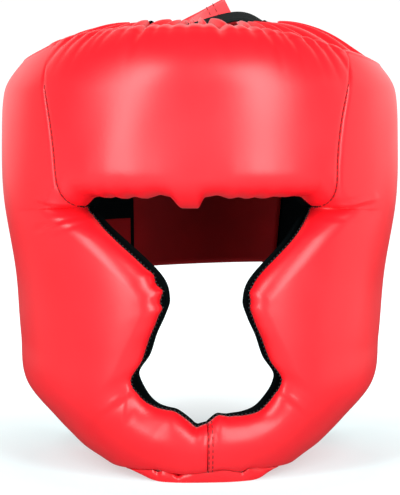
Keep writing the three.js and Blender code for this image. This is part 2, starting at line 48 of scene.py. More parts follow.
# Shell and panels
SECTION_POWER = 2.2  # squareness of the level sections
MEAN_RADIUS = 105  # turns an azimuth into a run along the surface
DEPTH_CENTRE = 1.35  # shift that puts the origin in the middle of the depth
SEAM_ANGLE = 0.1  # half a gap between two panels
SOFT_ROLL = 3  # power of the edges' profile: 2 is round, more starts softer
EDGE_WALL = 2.5  # seam wall left at a rolled edge
EDGE_LEAST = 0.004  # what is left of a sheet's thickness at its very edge, squared
CROWN_ROLL = 34  # run over which the padding rolls in at the crown
BROW_ROLL = 18  # run over which it rolls in at the brow
REAR_ROLL = 28  # run over which it rolls in at the rear and jaw edges
FACE_ROLL_SHARE = 0.6  # the most of a cheek pad's width that the face edge's roll takes
BROW_SHARE = 0.8  # depth of the leather's edge at the brow, as a share of the padding
EDGE_REACH = 110  # mean reach of the shell at the face opening
EDGE_PADDING = 25  # mean padding there
LINING_HANG = 0.00083  # drop of the lining's edge for each mm of depth and of height below the crown
SEAM_ROLL = 3.4  # run of the shallow groove beside a flat seam
SEAM_DIP = 1.3  # depth of that groove
EDGE_BEAD = 1.8  # run and depth of the leather's last turn at the face opening
EDGE_BEAD_DEPTH = 0.7
EDGE_EASE = 42  # run and depth of the foam's thinning towards the face opening
EDGE_EASE_DEPTH = 2.6
CREST_ROLL = 5  # run of the last turn of the padding into the crown seam
CREST_DIP = 1.8  # depth of that turn
CREST_BEAD = 0.8  # rise of the turned edge along the crown seam
CREST_BEAD_AT = (1.5, 1.1)  # its place below the seam, and its spread
SHARP_EDGE = math.radians(55)  # a turn sharper than this is a panel's cut edge
CHIN_TUCK = 0.22  # share of the roll left at the chin bar's lower edge, where the hem goes on
CHIN_TUCK_FROM = (0.86, 0.93)  # places along a cheek pad between which the roll gets less
SEAM_TOP = 235  # height where the upright seams meet the crown seam
SEAM_FOOT = 148  # height where they end at the brow
SEWN_GAP = 4 * SEAM_ANGLE  # gap beside the edge of a sheet that is sewn on
EYE_AT = 0.38  # place along a cheek pad where the seam ends at the eye corner
SEAM_SHARE = 0.35  # share of a cheek pad's stations beside the forehead seam
JAW_AT = 0.57  # place where the rear edge starts to turn into the jaw edge
CROWN_FADE = 0.16  # place along a cheek pad down to which the crown seam bends the stations
CROWN_ROLL_TO = 0.3  # places down to which the crown's roll and its last turn run on a cheek pad
CREST_TURN_TO = 0.2
CROWN_BLEND = 0.1  # length along the pad over which they fade in
# How strongly a panel's stations crowd towards its edges
FOREHEAD_CROWD = 0.65
SEAM_CROWD = 0.4
CHEEK_CROWD = 0.3
EDGE_CROWD = 0.7
LINING_CROWD = 0.8
CLOSURE_CROWD = 0.5
# Stations along and across each piece
FOREHEAD_STATIONS = (220, 96)
CHEEK_STATIONS = (320, 120)
FOREHEAD_LINING_STATIONS = (80, 40)
CHEEK_LINING_STATIONS = (150, 48)
RING_STATIONS = (900, 22)
CROWN_LINING_STATIONS = (420, 16)
FLAP_STATIONS = (90, 90)
STRAP_STATIONS = (110, 80)
CROWN_STRAP_STATIONS = (60, 18)
CROWN_TAB_STATIONS = (80, 18)
HEM_STATIONS = (160, 16)


def table(columns, *rows):
    """The named columns of a table, as arrays."""
    return {name: np.array([row[i] for row in rows], float) for i, name in enumerate(columns.split())}


SHELL = table(
    "height half_width front back padding",
    (0, 61, 103, 74, 16),
    (10, 70, 109, 82, 18),
    (25, 84.5, 114, 90, 20),
    (45, 101, 116, 98, 24),
    (70, 104, 115, 105, 26),
    (105, 106.5, 113, 113, 27),
    (150, 113.8, 110, 121, 28),
    (190, 114.2, 108.5, 121, 28),
    (212, 112.2, 106.5, 118, 27.5),
    (225, 107.2, 104, 115, 27),
    (250, 97, 97, 107, 25),
)
TWIST = table(
    "height turn",
    (0, 2.2), (50, 2.2), (75, 1.8), (97, 1.7), (120, 1.9), (134, 1.2), (150, -0.6), (175, -1.8), (250, -1.8),
)
SEAM = table(
    "height azimuth",
    (146, 42.2), (151, 41.6), (156, 41.7), (163, 42.1), (175, 42.6), (184, 43.2), (195, 44.3), (206, 46.1),
    (217, 48.9), (226.5, 53.3), (233, 58.6), (238, 62.4), (246, 66),
)
REAR = table(
    "height azimuth",
    (60, 117.5), (105, 122), (135, 124), (160, 124), (200, 122), (240, 118),
)
# Face and rear edges along a cheek pad, the lining's lip, and depth share and run of the face edge's roll
CHEEK = table(
    "at face_azimuth face_height back_azimuth back_height lip share run",
    (0, 62, 243.6, 118, 238.4, 0, 0.85, 20),
    (0.16, 47, 205, 122, 200, 0, 0.85, 20),
    (0.3, 42.6, 165, 124, 160, 0, 0.85, 19),
    (0.38, 42.2, 148, 124, 135, 0, 0.85, 17),
    (0.42, 36.2, 141, 123.4, 122, 2.6, 0.66, 16),
    (0.47, 29.6, 132.6, 122, 105, 3.6, 0.48, 14.5),
    (0.57, 16, 111.8, 118, 66, 4, 0.4, 13),
    (0.65, 13.1, 98.4, 113, 32, 5, 0.3, 10),
    (0.7, 14.6, 88.5, 107, 11, 5, 0.34, 11.5),
    (0.74, 17, 78.6, 98, -1.5, 4.8, 0.38, 13.5),
    (0.79, 19.2, 66.9, 84, -2.2, 5.6, 0.36, 18),
    (0.84, 22.4, 55, 66, 0.8, 6.2, 0.3, 23),
    (0.92, 16.2, 40.4, 36, 4, 2.8, 0.7, 23),
    (1, 0, 32.3, 0, 8, 0.8, 0.78, 24),
)
# Top of the padding's roll, to either side
CROWN = table(
    "azimuth height",
    (0, 248.8), (20, 248.2), (31, 247), (45, 245.4), (62, 243.6), (86, 241.3), (118, 238.4), (180, 238.4),
)
# Crown seam: where the pads end and the gathered ring starts, left to right
CREST = table(
    "azimuth height",
    (-124, 237), (-118, 236), (-104, 231), (-90, 229), (-75, 231.5), (-65, 235.4), (-58, 239.6), (-52, 242),
    (-45, 244.2), (-31, 246.8), (-20, 247.8), (0, 248.7), (20, 247.6), (31, 245), (45, 239.9),
    (52, 237), (57, 235), (62, 233.2), (75, 229.4), (90, 227), (104, 229), (118, 236), (124, 237),
)
# Gathers pinched into the crown seam: drop of the crest, half width, and run of the crease below it
GATHERS = table(
    "azimuth drop spread reach",
    (-63, 1.2, 1.5, 8),
    (-57.5, 1.0, 1.4, 12),
    (-51, 2.0, 1.5, 11),
    (-45.5, 1.7, 1.2, 9),
    (-40.3, 2.3, 1.3, 9),
    (-36.2, 0.9, 1.1, 7),
    (-32.7, 1.3, 1.4, 7),
    (-26.5, 0.8, 1.2, 5),
    (-20.5, 2.8, 1.4, 7),
    (-14.8, 0.8, 1.1, 5),
    (-9.6, 1.0, 1.5, 5),
    (-3.5, 0.9, 1.3, 4),
    (3.2, 0.7, 1.2, 4),
    (9.9, 2.8, 1.9, 6),
    (16, 0.9, 1.3, 5),
    (21.5, 1.6, 1.9, 7),
    (26.7, 2.4, 1.4, 9),
    (30.6, 1.0, 1.1, 6),
    (34.1, 2.2, 1.4, 10),
    (40.5, 2.6, 1.3, 10),
    (45, 2.0, 1.3, 11),
    (50, 1.8, 1.3, 10),
    (56, 1.1, 1.4, 10),
)
GATHER_FADE = 6  # run below the seam over which a drop fades
CREASE_SPREAD = 0.8  # half width of a crease, as a share of its gather's
CREASE_FADE = 0.55  # run over which it fades, as a share of its reach
# Brow edge: small gathers between the eye corners, as drops (+) and lifts (-) of the edge
BROW = table(
    "azimuth drop spread",
    (-36, 0.7, 2.2),
    (-30.5, 1.1, 1.8),
    (-24.5, 1.3, 1.9),
    (-17.5, 1.0, 2.0),
    (-12, -1.2, 2.2),
    (6.5, -1.0, 2.0),
    (11, 0.9, 1.6),
    (16.5, 1.0, 1.8),
    (22, 1.0, 2.0),
    (29, 0.5, 2.4),
    (36, 0.4, 2.5),
)
BROW_FADE = 4  # run above the edge over which a drop fades
BROW_PINCH = 0.5  # how far a gather puffs the foam out, as a share of its drop
BROW_PINCH_FADE = 7  # run over which that fades
BROW_HEIGHT = 154.8  # lower edge of the forehead pad
BROW_CORNER = 6.3  # fall of that edge at the eye corners
BROW_CORNER_SPAN = (36, 42)  # azimuths over which it falls
BROW_SWELL = 2.2  # fullness of the foam just over the brow
BROW_SWELL_HEIGHT = 161
BROW_SWELL_SPREAD = 20
NOSE_TAB_AZIMUTH = -3
NOSE_TAB_DROP = 6.2
NOSE_TAB_SPAN = (2.6, 6)  # half widths of its flat edge and of its foot, in azimuth
# Upper edge of the chin bar: lift over the smooth edge
CHIN_EDGE = table(
    "azimuth lift",
    (-30, -0.8), (-22, -0.6), (-16, 0.8), (-12.9, 1.7), (-10.3, 2.3), (-7.5, 0.6), (-5.2, -1.6), (-3.5, -3.3),
    (-1.8, -1.7), (0.4, 0.6), (3.4, 3), (5, 2.2), (6.6, 1), (9, 0.2), (12, -1), (17.6, -2.4), (23, -1.2),
    (30, -0.8),
)
CHIN_EDGE_FROM = (0.86, 0.92)  # places along a cheek pad between which the lift sets in
CHIN_EDGE_FADE = 9  # run over which it fades
# Lower edge of the chin bar, where it meets the hem: lift over the smooth edge
CHIN_FOOT = table(
    "azimuth lift",
    (-66, 0), (-36, 0.2), (-25, 0.2), (-19, 0.6), (-15.5, 0.6), (-11, -1.3), (-8, -2.2), (0, -1.6), (5, 0),
    (10.5, -1.1), (13, 0.8), (20, 0.6), (25, 0.2), (36, 0.2), (66, 0),
)
CHIN_FOOT_FROM = (0.84, 0.92)  # places between which that lift sets in
CHIN_FOOT_FADE = 8
# Creases (+) and ridges (-) of the cheek pads: a run from one place to another, fading out at its end
FOLDS = table(
    "side from_azimuth from_height to_azimuth to_height depth width",
    (-1, 37.5, 147.8, 53, 153.2, -0.9, 1.4),
    (-1, 37, 146, 52.6, 150.8, 1.5, 1.5),
    (-1, 36.6, 144.6, 56, 134, 1.3, 1.6),
    (-1, 38, 142.4, 52, 133, -0.4, 1.6),
    (-1, 37, 140.4, 52, 131, 0.7, 1.9),
    (-1, 39, 149.6, 45, 155.4, 0.5, 1.8),
    (-1, 42.2, 158.8, 42.8, 160.6, -0.6, 2.2),
    (1, 37, 147.8, 60, 152.4, -0.9, 1.6),
    (1, 36.8, 145.6, 59, 150.2, 1.5, 1.8),
    (1, 37.4, 143.8, 51, 140, 0.5, 1.9),
    (1, 39, 149.2, 51, 153, 0.5, 1.9),
    (1, 57, 151, 58.7, 155.5, -0.4, 3.2),
    (-1, 22.2, 50.6, 36, 31.8, -0.5, 1.8),
    (-1, 22.6, 47, 33, 31.4, 0.45, 2),
    (-1, 23.2, 45, 25.1, 29, -0.4, 1.6),
    (-1, 21.4, 43.6, 22.4, 30, 0.25, 2.2),
    (1, 22, 49.4, 34.7, 30.5, -0.5, 1.9),
    (1, 22.6, 46, 31, 31, 0.4, 2.1),
    (-1, 12.8, 105.4, 20.4, 114.4, -0.3, 2.2),
    (-1, 14, 109.6, 18, 117, 0.45, 2.4),
    (-1, 12.8, 100.4, 16.4, 100.4, 0.3, 2),
    (1, 12.6, 105, 19.6, 99.4, -0.3, 3.2),
)
FOLD_BEFORE = 0.6  # how far a fold also runs the other way from its start, as a share of its length
# Small tucks of the leather's edge at the face opening: push into the opening, by height
TUCKS = table(
    "side height push spread",
    (-1, 113.6, 1.0, 2.2),
    (-1, 109, -0.8, 2.0),
    (-1, 104.4, 1.5, 2.2),
    (-1, 99.4, -0.8, 2.0),
    (-1, 94.8, 1.0, 2.0),
    (1, 104, 0.9, 2.4),
    (1, 99, -0.5, 2.2),
)
TUCK_RUN = 6  # how far a tuck reaches onto the pad
# Slow swells of the foam under the skin
SWELLS = table(
    "azimuth_wave height_wave phase depth",
    (83, 131, 0.4, 0.16),
    (61, -97, 1.9, 0.12),
    (-43, 57, 3.1, 0.05),
)
CHIN_STRIP = 3.2  # width of the felled strip beside the chin seam
CHIN_STRIP_RISE = 0.5
CHIN_STRIP_EDGE = 0.7  # width of the step at its edge

# Lining
LINING = 2.8  # thickness
LINING_GAP = 1.6  # behind the padding
LINING_INSET = 6  # below the crown seam
LINING_FROM = 0.035  # place along a cheek pad where its lining starts
LINING_CHIN = (0.9, 1)  # places between which the lining's edge closes on the chin seam
LINING_SEAMS = (2, -0.8)  # gaps at the forehead seam and at the chin seam, in seam angles
BROW_LINING_RISE = 2.4  # of the lining's edge over the brow edge
JAW_INSET = 12  # from the jaw edge
JAW_INSET_SHARE = 1 / 3  # the most of the width that the inset takes
LIP_ROUND = 2.6  # run over which the lining's edges round off
LIP_SIDE = 1.4  # how much wider the lip shows on the left cheek, and narrower on the right
LIP_SIDE_FROM = (0.42, 0.5)  # places between which that sets in and ends
LIP_SIDE_TO = (0.86, 0.93)

# Crown ring: outer and inner edge, left to right
RING = table(
    "azimuth start_height start_depth end_height end_depth",
    (-180, 239.2, 17.8, 250, 42),
    (-140, 237.8, 21.2, 246.5, 45),
    (-118, 235, 20.5, 243, 51),
    (-104, 229.6, 10, 241, 51),
    (-90, 227.6, 7, 240, 51),
    (-75, 229.4, 8, 240, 50),
    (-62, 233.8, 12, 244.6, 50),
    (-45, 239.4, 17, 247, 49),
    (-31, 241.2, 21, 248.8, 48),
    (0, 243.6, 25, 248.6, 48),
    (31, 239.8, 20, 248.2, 48),
    (45, 235, 13.6, 247.8, 49),
    (57, 230.6, 10, 248, 50),
    (66, 227.8, 8.4, 247.8, 51),
    (75, 226.6, 7.4, 247, 51),
    (90, 224.8, 7, 244.4, 51),
    (104, 227, 10, 244, 51),
    (118, 235, 20.5, 245, 51),
    (140, 237.8, 21.2, 247.5, 45),
    (180, 239.2, 17.8, 250, 42),
)
RING_THICKNESS = 1.6
RING_FOLDS = 46  # gathers round the crown
RING_FOLD = 9.5  # depth of a gather at the inner edge
RING_FOLD_START = 0.7  # share of that depth at the crown seam
RING_FOLD_RUN = 0.4  # share of the ring's width over which it deepens
RING_CREST = 0.74  # share of that depth below the smooth ring
RING_RIDGE = 0.8  # less than 1 rounds the ridges and sharpens the valleys
RING_RISE = 2.2  # how steeply the ring rises behind the crown seam
# Waves round the crown that space the gathers unevenly, vary their depths and sway them sideways
RING_SPACING = table("waves phase amount", (3, 0.7, 0.9), (7, 2, 0.6))
RING_DEPTHS = table("waves phase amount", (5, 1, 0.3), (11, 0, 0.2))
RING_SWAY = table("waves phase amount", (9, 0.5, 5))
BINDING = 2.2  # black edge binding inside the ring
BINDING_FROM = 0.98  # share of the ring's width where the lining turns up into the binding
BINDING_FOLD = 0.2  # depth of the binding's waves, as a share of the ring's gathers
BINDING_SHIFT = 3  # azimuth by which they lag behind the gathers
BINDING_DROP = 0.2  # below the ring
# Where the binding stands up past the gathers
BINDING_STANDS = table("azimuth drop spread", (-38, -2.2, 10), (48, -3, 12))
CROWN_LINING_SPAN = (0.62, 1.07)  # the crown lining's edges, as shares of the ring's width
CROWN_LINING_DROP = 1.5  # its depth below the ring, in depths of a gather
CROWN_LINING_GAP = 0.8

# Rear closure
FLAP = table(
    "at bottom top depth",
    (0, 102, 232, 11), (0.6, 98.5, 236, 11), (0.8, 98, 236, 13), (1, 97, 235, 21),
)
FLAP_END = 152  # azimuth of its free end
FLAP_FACING_X = -39.6  # the flap's inside is faced in black to the left of this, next to its seam
FLAP_FACING_Z = 127.7  # lower edge of that facing
FLAP_SHADE_STRIP = 2.4  # width of a black strip beside it, painted shadow of the gap there
FLAP_THICKNESS = 5
STRAP = table(
    "at bottom top depth",
    (0, 68, 233, 21), (0.14, 80, 227, 12), (0.3, 93, 213, 6.4), (0.5, 109, 193, 6.4), (0.7, 117, 182, 6.4),
    (1, 118, 179, 6.4),
)
STRAP_END = 214  # azimuth of its free end
STRAP_THICKNESS = 4
EDGE_ROUND = 3.5  # rounding of the closure's edges

# Crown ribbons: middle line, and how far the width leans up from lying flat
CROWN_STRAP = table(
    "x y z lean",
    (-57, 33, 233.7, 4), (-40, 33, 233.3, 10), (-19, 30, 237.8, 48), (0, 28, 244.8, 74), (19, 27, 254.6, 78),
)
CROWN_TAB = table(
    "x y z lean",
    (-57, 8, 234, 3), (-36, 8, 238.5, 8), (-8, 8, 245.6, 12), (21, 8, 253.2, 12), (36, 8, 248.6, 8),
    (46, 8, 240.2, 3), (54, 8, 234.4, 1),
)
RIBBON_WIDTH = 22
RIBBON_THICKNESS = 2
RIBBON_ROUND = 1.2  # rounding of the ribbons' edges

# Chin hem
HEM = table(
    "azimuth bottom top_depth bottom_depth",
    (-28, 5, 3.4, 3.6),
    (-22, 2.8, 3.4, 2.2),
    (-17.5, 0.8, 3.6, 0.6),
    (-13.5, 0, 3.8, 0.4),
    (0.5, 0, 4.2, 2.6),
    (14.5, 0, 3.8, 0.4),
    (18, 0.8, 3.6, 0.6),
    (21.5, 2.8, 3.4, 2.2),
    (26.5, 5, 3.4, 3.6),
)
# Small tucks where the hem falls away from the chin bar
HEM_TUCKS = table(
    "azimuth drop spread",
    (-15.5, 1.2, 1.1),
    (-9.1, 1.1, 1),
    (11.5, 0.9, 1),
)
HEM_GAP = 0.3  # below the chin bar's lower edge
HEM_BULGE = 0.8
HEM_BACK = 15.5  # depth of its inner side
HEM_SAMPLES = 80  # places along the pads' lower edge that the hem follows
HEM_RIPPLES = table("waves phase amount", (26, 0, 0.4), (41, 1, 0.3))

# Sewing thread
STITCH_PITCH = 3.2
STITCH_LENGTH = 2.7
THREAD = 0.7
OVERCAST = (1.1, 2.2)  # length and width of a stitch over the face edge
OVERCAST_PITCH = 2.3
CHIN_ROWS = (0.5, 2.7)  # stitch rows beside the chin seam
STRAP_END_ROWS = (-9, -6)  # stations of the two stitch rows across the crown strap's end
SEAM_ROW_RISE = 0.5  # how far the rows stand out from the leather
CHIN_ROW_RISE = 0.15
OVERCAST_RISE = 0.1
SEAM_ROW_ENDS = slice(4, -3)  # stations that each row leaves free at its ends
CHIN_ROW_ENDS = slice(8, -6)
STRAP_ROW_ENDS = slice(2, -2)


def curve(columns, by, name):
    """A smooth curve through one column of a table, by another column that grows."""
    x, y = columns[by], columns[name]
    last = len(x) - 1
    before = np.maximum(np.arange(last + 1) - 1, 0)
    after = np.minimum(np.arange(last + 1) + 1, last)
    slope = (y[after] - y[before]) / (x[after] - x[before])

    def at(place):
        place = np.clip(place, x[0], x[-1])
        i = np.clip(np.searchsorted(x, place, side="right") - 1, 0, last - 1)
        run = x[i + 1] - x[i]
        t = (place - x[i]) / run
        rise = y[i + 1] - y[i]
        bend = slope[i] * run - rise
        back = rise - slope[i + 1] * run
        return y[i] + rise * t + t * (1 - t) * (bend + (back - bend) * t)

    return at


def curves(columns, by, names):
    """Smooth curves through several columns of a table."""
    return [curve(columns, by, name) for name in names.split()]


half_width, front_reach, back_reach, padding = curves(SHELL, "height", "half_width front back padding")
twist = curve(TWIST, "height", "turn")
seam_azimuth = curve(SEAM, "height", "azimuth")
rear_azimuth = curve(REAR, "height", "azimuth")
crown_height = curve(CROWN, "azimuth", "height")
crest_height = curve(CREST, "azimuth", "height")
face_opening, face_height, back_opening, back_height, lip_reach, edge_share, edge_run = curves(
    CHEEK, "at", "face_azimuth face_height back_azimuth back_height lip share run"
)
chin_lift = curve(CHIN_EDGE, "azimuth", "lift")
chin_foot = curve(CHIN_FOOT, "azimuth", "lift")
hem_bottom = curve(HEM, "azimuth", "bottom")


def mix(a, b, t):
    return a + (b - a) * t


def smoothstep(x, low, high):
    t = np.clip((x - low) / (high - low), 0, 1)
    return t * t * (3 - 2 * t)


def bell(x, middle, spread):
    return np.exp(-(((x - middle) / spread) ** 2))


def roll(distance, radius, power=2):
    """Share of the full roll at a distance from an edge: 1 at the edge, 0 beyond the roll."""
    t = np.clip(1 - distance / radius, 0, 1)
    return 1 - np.sqrt(1 - t**power)


def crowd(t, share):
    """Puts stations closer together towards both ends."""
    return t - share * np.sin(2 * np.pi * t) / (2 * np.pi)


def run_of(azimuth):
    """Run along the surface for a turn in azimuth."""
    return np.radians(azimuth) * MEAN_RADIUS


def shell(azimuth, height, depth):
    """Points at a depth below the shell."""
    level = np.maximum(height, 0)
    turned = np.radians(azimuth + twist(level) * np.cos(np.radians(azimuth) / 2) ** 2)
    s, c = np.sin(turned), np.cos(turned)
    reach = np.where(c > 0, front_reach(level), back_reach(level))
    total = (np.abs(s) / half_width(level)) ** SECTION_POWER + (np.abs(c) / reach) ** SECTION_POWER
    radius = total ** (-1 / SECTION_POWER) - depth
    return np.stack([radius * s, -radius * c - DEPTH_CENTRE, level], -1)


def grid(columns, rows):
    """Even stations u and v over a panel."""
    return np.meshgrid(np.linspace(0, 1, columns + 1), np.linspace(0, 1, rows + 1), indexing="ij")


def swell(azimuth, height):
    """Depth of the slow swells of the foam."""
    total = 0
    for along, up, phase, depth in zip(*SWELLS.values()):
        total = total + depth * np.sin(2 * np.pi * (run_of(azimuth) / along + height / up) + phase)
    return total


def fold_depth(side, azimuth, height):
    """Depth of the creases at places on a cheek pad."""
    total = np.zeros_like(azimuth)
    rows = np.array(list(FOLDS.values())).T
    for _, from_azimuth, from_height, to_azimuth, to_height, depth, width in rows[rows[:, 0] == side]:
        along = run_of(to_azimuth - from_azimuth)
        up = to_height - from_height
        dx = run_of(azimuth - from_azimuth)
        dz = height - from_height
        t = np.clip((dx * along + dz * up) / (along**2 + up**2), -FOLD_BEFORE, 1)
        away = np.hypot(dx - t * along, dz - t * up) / width
        total += depth * (1 - t**4) ** 2 * np.exp(-(away**2))
    return total


def drops_at(columns, azimuth):
    """Sum of a table's drops at places along an edge."""
    rows = zip(columns["azimuth"], columns["drop"], columns["spread"])
    return sum(drop * bell(azimuth, place, spread) for place, drop, spread in rows)


def waves_round(columns, azimuth):
    """Sum of a table's waves at azimuths round the head."""
    angle = np.radians(azimuth)
    return sum(amount * np.sin(waves * angle + phase) for waves, phase, amount in zip(*columns.values()))


def crest_creases(azimuth, below):
    """Depth of the creases that run down from the gathers of the crown seam."""
    total = np.zeros_like(azimuth)
    for place, depth, spread, reach in zip(*GATHERS.values()):
        fade = np.exp(-below / (CREASE_FADE * reach))
        total += depth * bell(azimuth, place, CREASE_SPREAD * spread) * fade
    return total


def crest_turn(below):
    """Last turn of the padding into the crown seam, with the bead of its turned edge."""
    return CREST_DIP * roll(below, CREST_ROLL) - CREST_BEAD * bell(below, *CREST_BEAD_AT)


def nose_tab(azimuth):
    """Drop of the brow edge at the nose tab."""
    return NOSE_TAB_DROP * (1 - smoothstep(np.abs(azimuth - NOSE_TAB_AZIMUTH), *NOSE_TAB_SPAN))


def brow_line(side):
    """Azimuth and height of the brow edge without its gathers, from seam to seam."""
    azimuth = side * seam_azimuth(SEAM_FOOT)
    return azimuth, BROW_HEIGHT - BROW_CORNER * smoothstep(np.abs(azimuth), *BROW_CORNER_SPAN)


# Panels as two grids of points: the outer skin and the inner side


def forehead(columns, rows):
    u, v = grid(columns, rows)
    v = crowd(v, FOREHEAD_CROWD)
    side = 2 * u - 1
    _, low = brow_line(side)
    high = crest_height(side * seam_azimuth(SEAM_TOP))
    level = mix(low, high, v)
    above, below = level - low, high - level
    reach = seam_azimuth(level) - SEAM_ANGLE
    azimuth = side * reach
    gathered = drops_at(BROW, azimuth)
    brow = (gathered + nose_tab(azimuth)) * np.exp(-above / BROW_FADE)
    height = level - drops_at(GATHERS, azimuth) * np.exp(-below / GATHER_FADE) - brow
    full = padding(height) - EDGE_WALL
    groove = SEAM_DIP / full * roll(run_of((1 - np.abs(side)) * reach), SEAM_ROLL)
    crown = roll(crown_height(np.abs(azimuth)) - level, CROWN_ROLL)
    edge = BROW_SHARE * roll(above, BROW_ROLL, SOFT_ROLL)
    depth = full * (1 - (1 - groove) * (1 - crown) * (1 - edge))
    depth += crest_turn(below) + crest_creases(azimuth, below)
    depth += swell(azimuth, height) * (1 - crown) * (1 - edge)
    depth -= BROW_SWELL * bell(height, BROW_SWELL_HEIGHT, BROW_SWELL_SPREAD) * (1 - edge) * (1 - side**4)
    depth -= BROW_PINCH * gathered * np.exp(-above / BROW_PINCH_FADE) * (1 - edge)
    depth = np.minimum(depth, full)
    return shell(azimuth, height, depth), shell(azimuth, height, padding(height))


def lining_edge(u):
    """Azimuth of the lining's edge along a cheek pad, hidden behind the leather's as seen from the front."""
    share = (EDGE_REACH - edge_share(u) * EDGE_PADDING) / (EDGE_REACH - EDGE_PADDING)
    return np.degrees(np.arcsin(share * np.sin(np.radians(face_opening(u)))))


def lining_hang(u):
    """How far the lining's edge hangs below the leather's along the face opening."""
    return LINING_HANG * (1 - edge_share(u)) * EDGE_PADDING * (SEAM_TOP - face_height(u)) * (u >= EYE_AT)


def cheek_places(side, u, v, edge, tucked=False, hang=0):
    """Azimuth and height on a cheek pad, its width, the run from its face edge and that edge's height."""
    near_crown = np.clip(1 - u / CROWN_FADE, 0, 1) ** 2
    low = face_height(u) - (face_height(0) - SEAM_TOP) * near_crown - hang
    high = back_height(u) - (back_height(0) - crest_height(back_opening(0))) * near_crown
    face = np.where(u < EYE_AT, seam_azimuth(low), edge(u))
    back = np.where(u < JAW_AT, rear_azimuth(high), back_opening(u))
    width = np.hypot(run_of(back - face), high - low)
    from_face = v * width
    push = np.zeros_like(u)
    for tuck_side, place, depth, spread in zip(*TUCKS.values()):
        if tucked and tuck_side == side:
            push += depth * bell(low, place, spread) * (u > EYE_AT) * np.exp(-np.abs(from_face) / TUCK_RUN)
    v = v - push / width
    azimuth = mix(face, back, v) + SEAM_ANGLE
    height = mix(low, high, v)
    lift = chin_lift(side * azimuth) * smoothstep(u, *CHIN_EDGE_FROM)
    lift *= np.exp(-np.abs(from_face) / CHIN_EDGE_FADE)
    foot = chin_foot(side * azimuth) * smoothstep(u, *CHIN_FOOT_FROM)
    foot *= np.exp(-np.abs(width - from_face) / CHIN_FOOT_FADE)
    dip = (crest_height(side * azimuth) - height) * near_crown
    return azimuth, height + lift + foot + dip, width, from_face, low


def cheek(side, columns, rows):
    u, v = grid(columns, rows)
    upper = EYE_AT * crowd(np.minimum(u / SEAM_SHARE, 1), SEAM_CROWD)
    lower = mix(EYE_AT, 1, crowd(np.maximum((u - SEAM_SHARE) / (1 - SEAM_SHARE), 0), CHEEK_CROWD))
    u = np.where(u < SEAM_SHARE, upper, lower)
    v = crowd(v, EDGE_CROWD)
    azimuth, height, width, from_face, low = cheek_places(side, u, v, face_opening, tucked=True)
    from_back = (1 - v) * width
    full = padding(height) - EDGE_WALL
    opened = np.where(u < EYE_AT, roll(low - face_height(EYE_AT), BROW_ROLL, SOFT_ROLL), 1)
    face_run = np.minimum(mix(SEAM_ROLL, edge_run(u), np.sqrt(opened)), FACE_ROLL_SHARE * width)
    groove = SEAM_DIP / full * roll(from_face, SEAM_ROLL)
    face = mix(groove, edge_share(u) * roll(from_face, face_run), opened)
    back = roll(from_back, np.minimum(REAR_ROLL, width / 2), SOFT_ROLL)
    back *= mix(1, CHIN_TUCK, smoothstep(u, *CHIN_TUCK_FROM))
    below = crest_height(side * azimuth) - height
    crown = roll(crown_height(azimuth) - height, CROWN_ROLL) * smoothstep(CROWN_ROLL_TO - u, 0, CROWN_BLEND)
    seam = SEAM_DIP / full * roll(run_of(azimuth), SEAM_ROLL)
    depth = full * (1 - (1 - face) * (1 - back) * (1 - crown) * (1 - seam))
    depth += crest_turn(below) * smoothstep(CREST_TURN_TO - u, 0, CROWN_BLEND)
    depth += EDGE_BEAD_DEPTH * roll(from_face, EDGE_BEAD) * opened
    depth += EDGE_EASE_DEPTH * np.clip(1 - from_face / EDGE_EASE, 0, 1) ** 2 * opened * (1 - face)
    depth += fold_depth(side, azimuth, height) + swell(side * azimuth, height) * (1 - face) * (1 - back)
    if side > 0:
        strip = 1 - smoothstep(run_of(azimuth), CHIN_STRIP, CHIN_STRIP + CHIN_STRIP_EDGE)
        depth -= CHIN_STRIP_RISE * strip
    depth = np.minimum(depth, full)
    inner_azimuth, inner_height, _, _, _ = cheek_places(side, u, v, lining_edge, hang=lining_hang(u))
    inner = shell(side * inner_azimuth, inner_height, padding(inner_height))
    return shell(side * azimuth, height, depth), inner


def rounded(from_edge, thickness, run):
    """Half thickness of a sheet whose edge is rounded off over a run."""
    return 0.5 * thickness * np.sqrt(np.maximum(1 - np.clip(1 - from_edge / run, 0, 1) ** 2, EDGE_LEAST))


def layer(azimuth, height, middle, half):
    """Outer and inner side of a sheet about a middle depth below the shell."""
    return shell(azimuth, height, middle - half), shell(azimuth, height, middle + half)


def cheek_lining(side, columns, rows):
    u, v = grid(columns, rows)
    along = mix(LINING_FROM, 1, crowd(u, CHEEK_CROWD))
    hang = lining_hang(along)
    whole = cheek_places(side, along, np.zeros_like(along) + 0.5, lining_edge, hang=hang)[2]
    beside_cheek = smoothstep(along, *LIP_SIDE_FROM) * (1 - smoothstep(along, *LIP_SIDE_TO))
    start = (side * LIP_SIDE * beside_cheek - lip_reach(along)) / whole
    stop = 1 - np.minimum(JAW_INSET / whole, JAW_INSET_SHARE)
    across = crowd(v, LINING_CROWD)
    azimuth, height, width, _, _ = cheek_places(side, along, mix(start, stop, across), lining_edge, hang=hang)
    run = (stop - start) * width
    half = rounded(np.minimum(across, 1 - across) * run, LINING, LIP_ROUND)
    middle = padding(height) + LINING_GAP + LINING / 2
    gap = mix(*LINING_SEAMS, smoothstep(along, *LINING_CHIN)) * SEAM_ANGLE
    return layer(side * (azimuth + gap), height, middle, half)


def forehead_lining(columns, rows):
    u, v = grid(columns, rows)
    side = 2 * u - 1
    brow_azimuth, brow_height = brow_line(side)
    low = brow_height + BROW_LINING_RISE - nose_tab(brow_azimuth)
    high = crest_height(side * seam_azimuth(SEAM_TOP)) - LINING_INSET
    across = crowd(v, LINING_CROWD)
    height = mix(low, high, across)
    azimuth = side * (seam_azimuth(height) - SEWN_GAP)
    half = rounded(np.minimum(across, 1 - across) * (high - low), LINING, LIP_ROUND)
    middle = padding(height) + LINING_GAP + LINING / 2
    return layer(azimuth, height, middle, half)


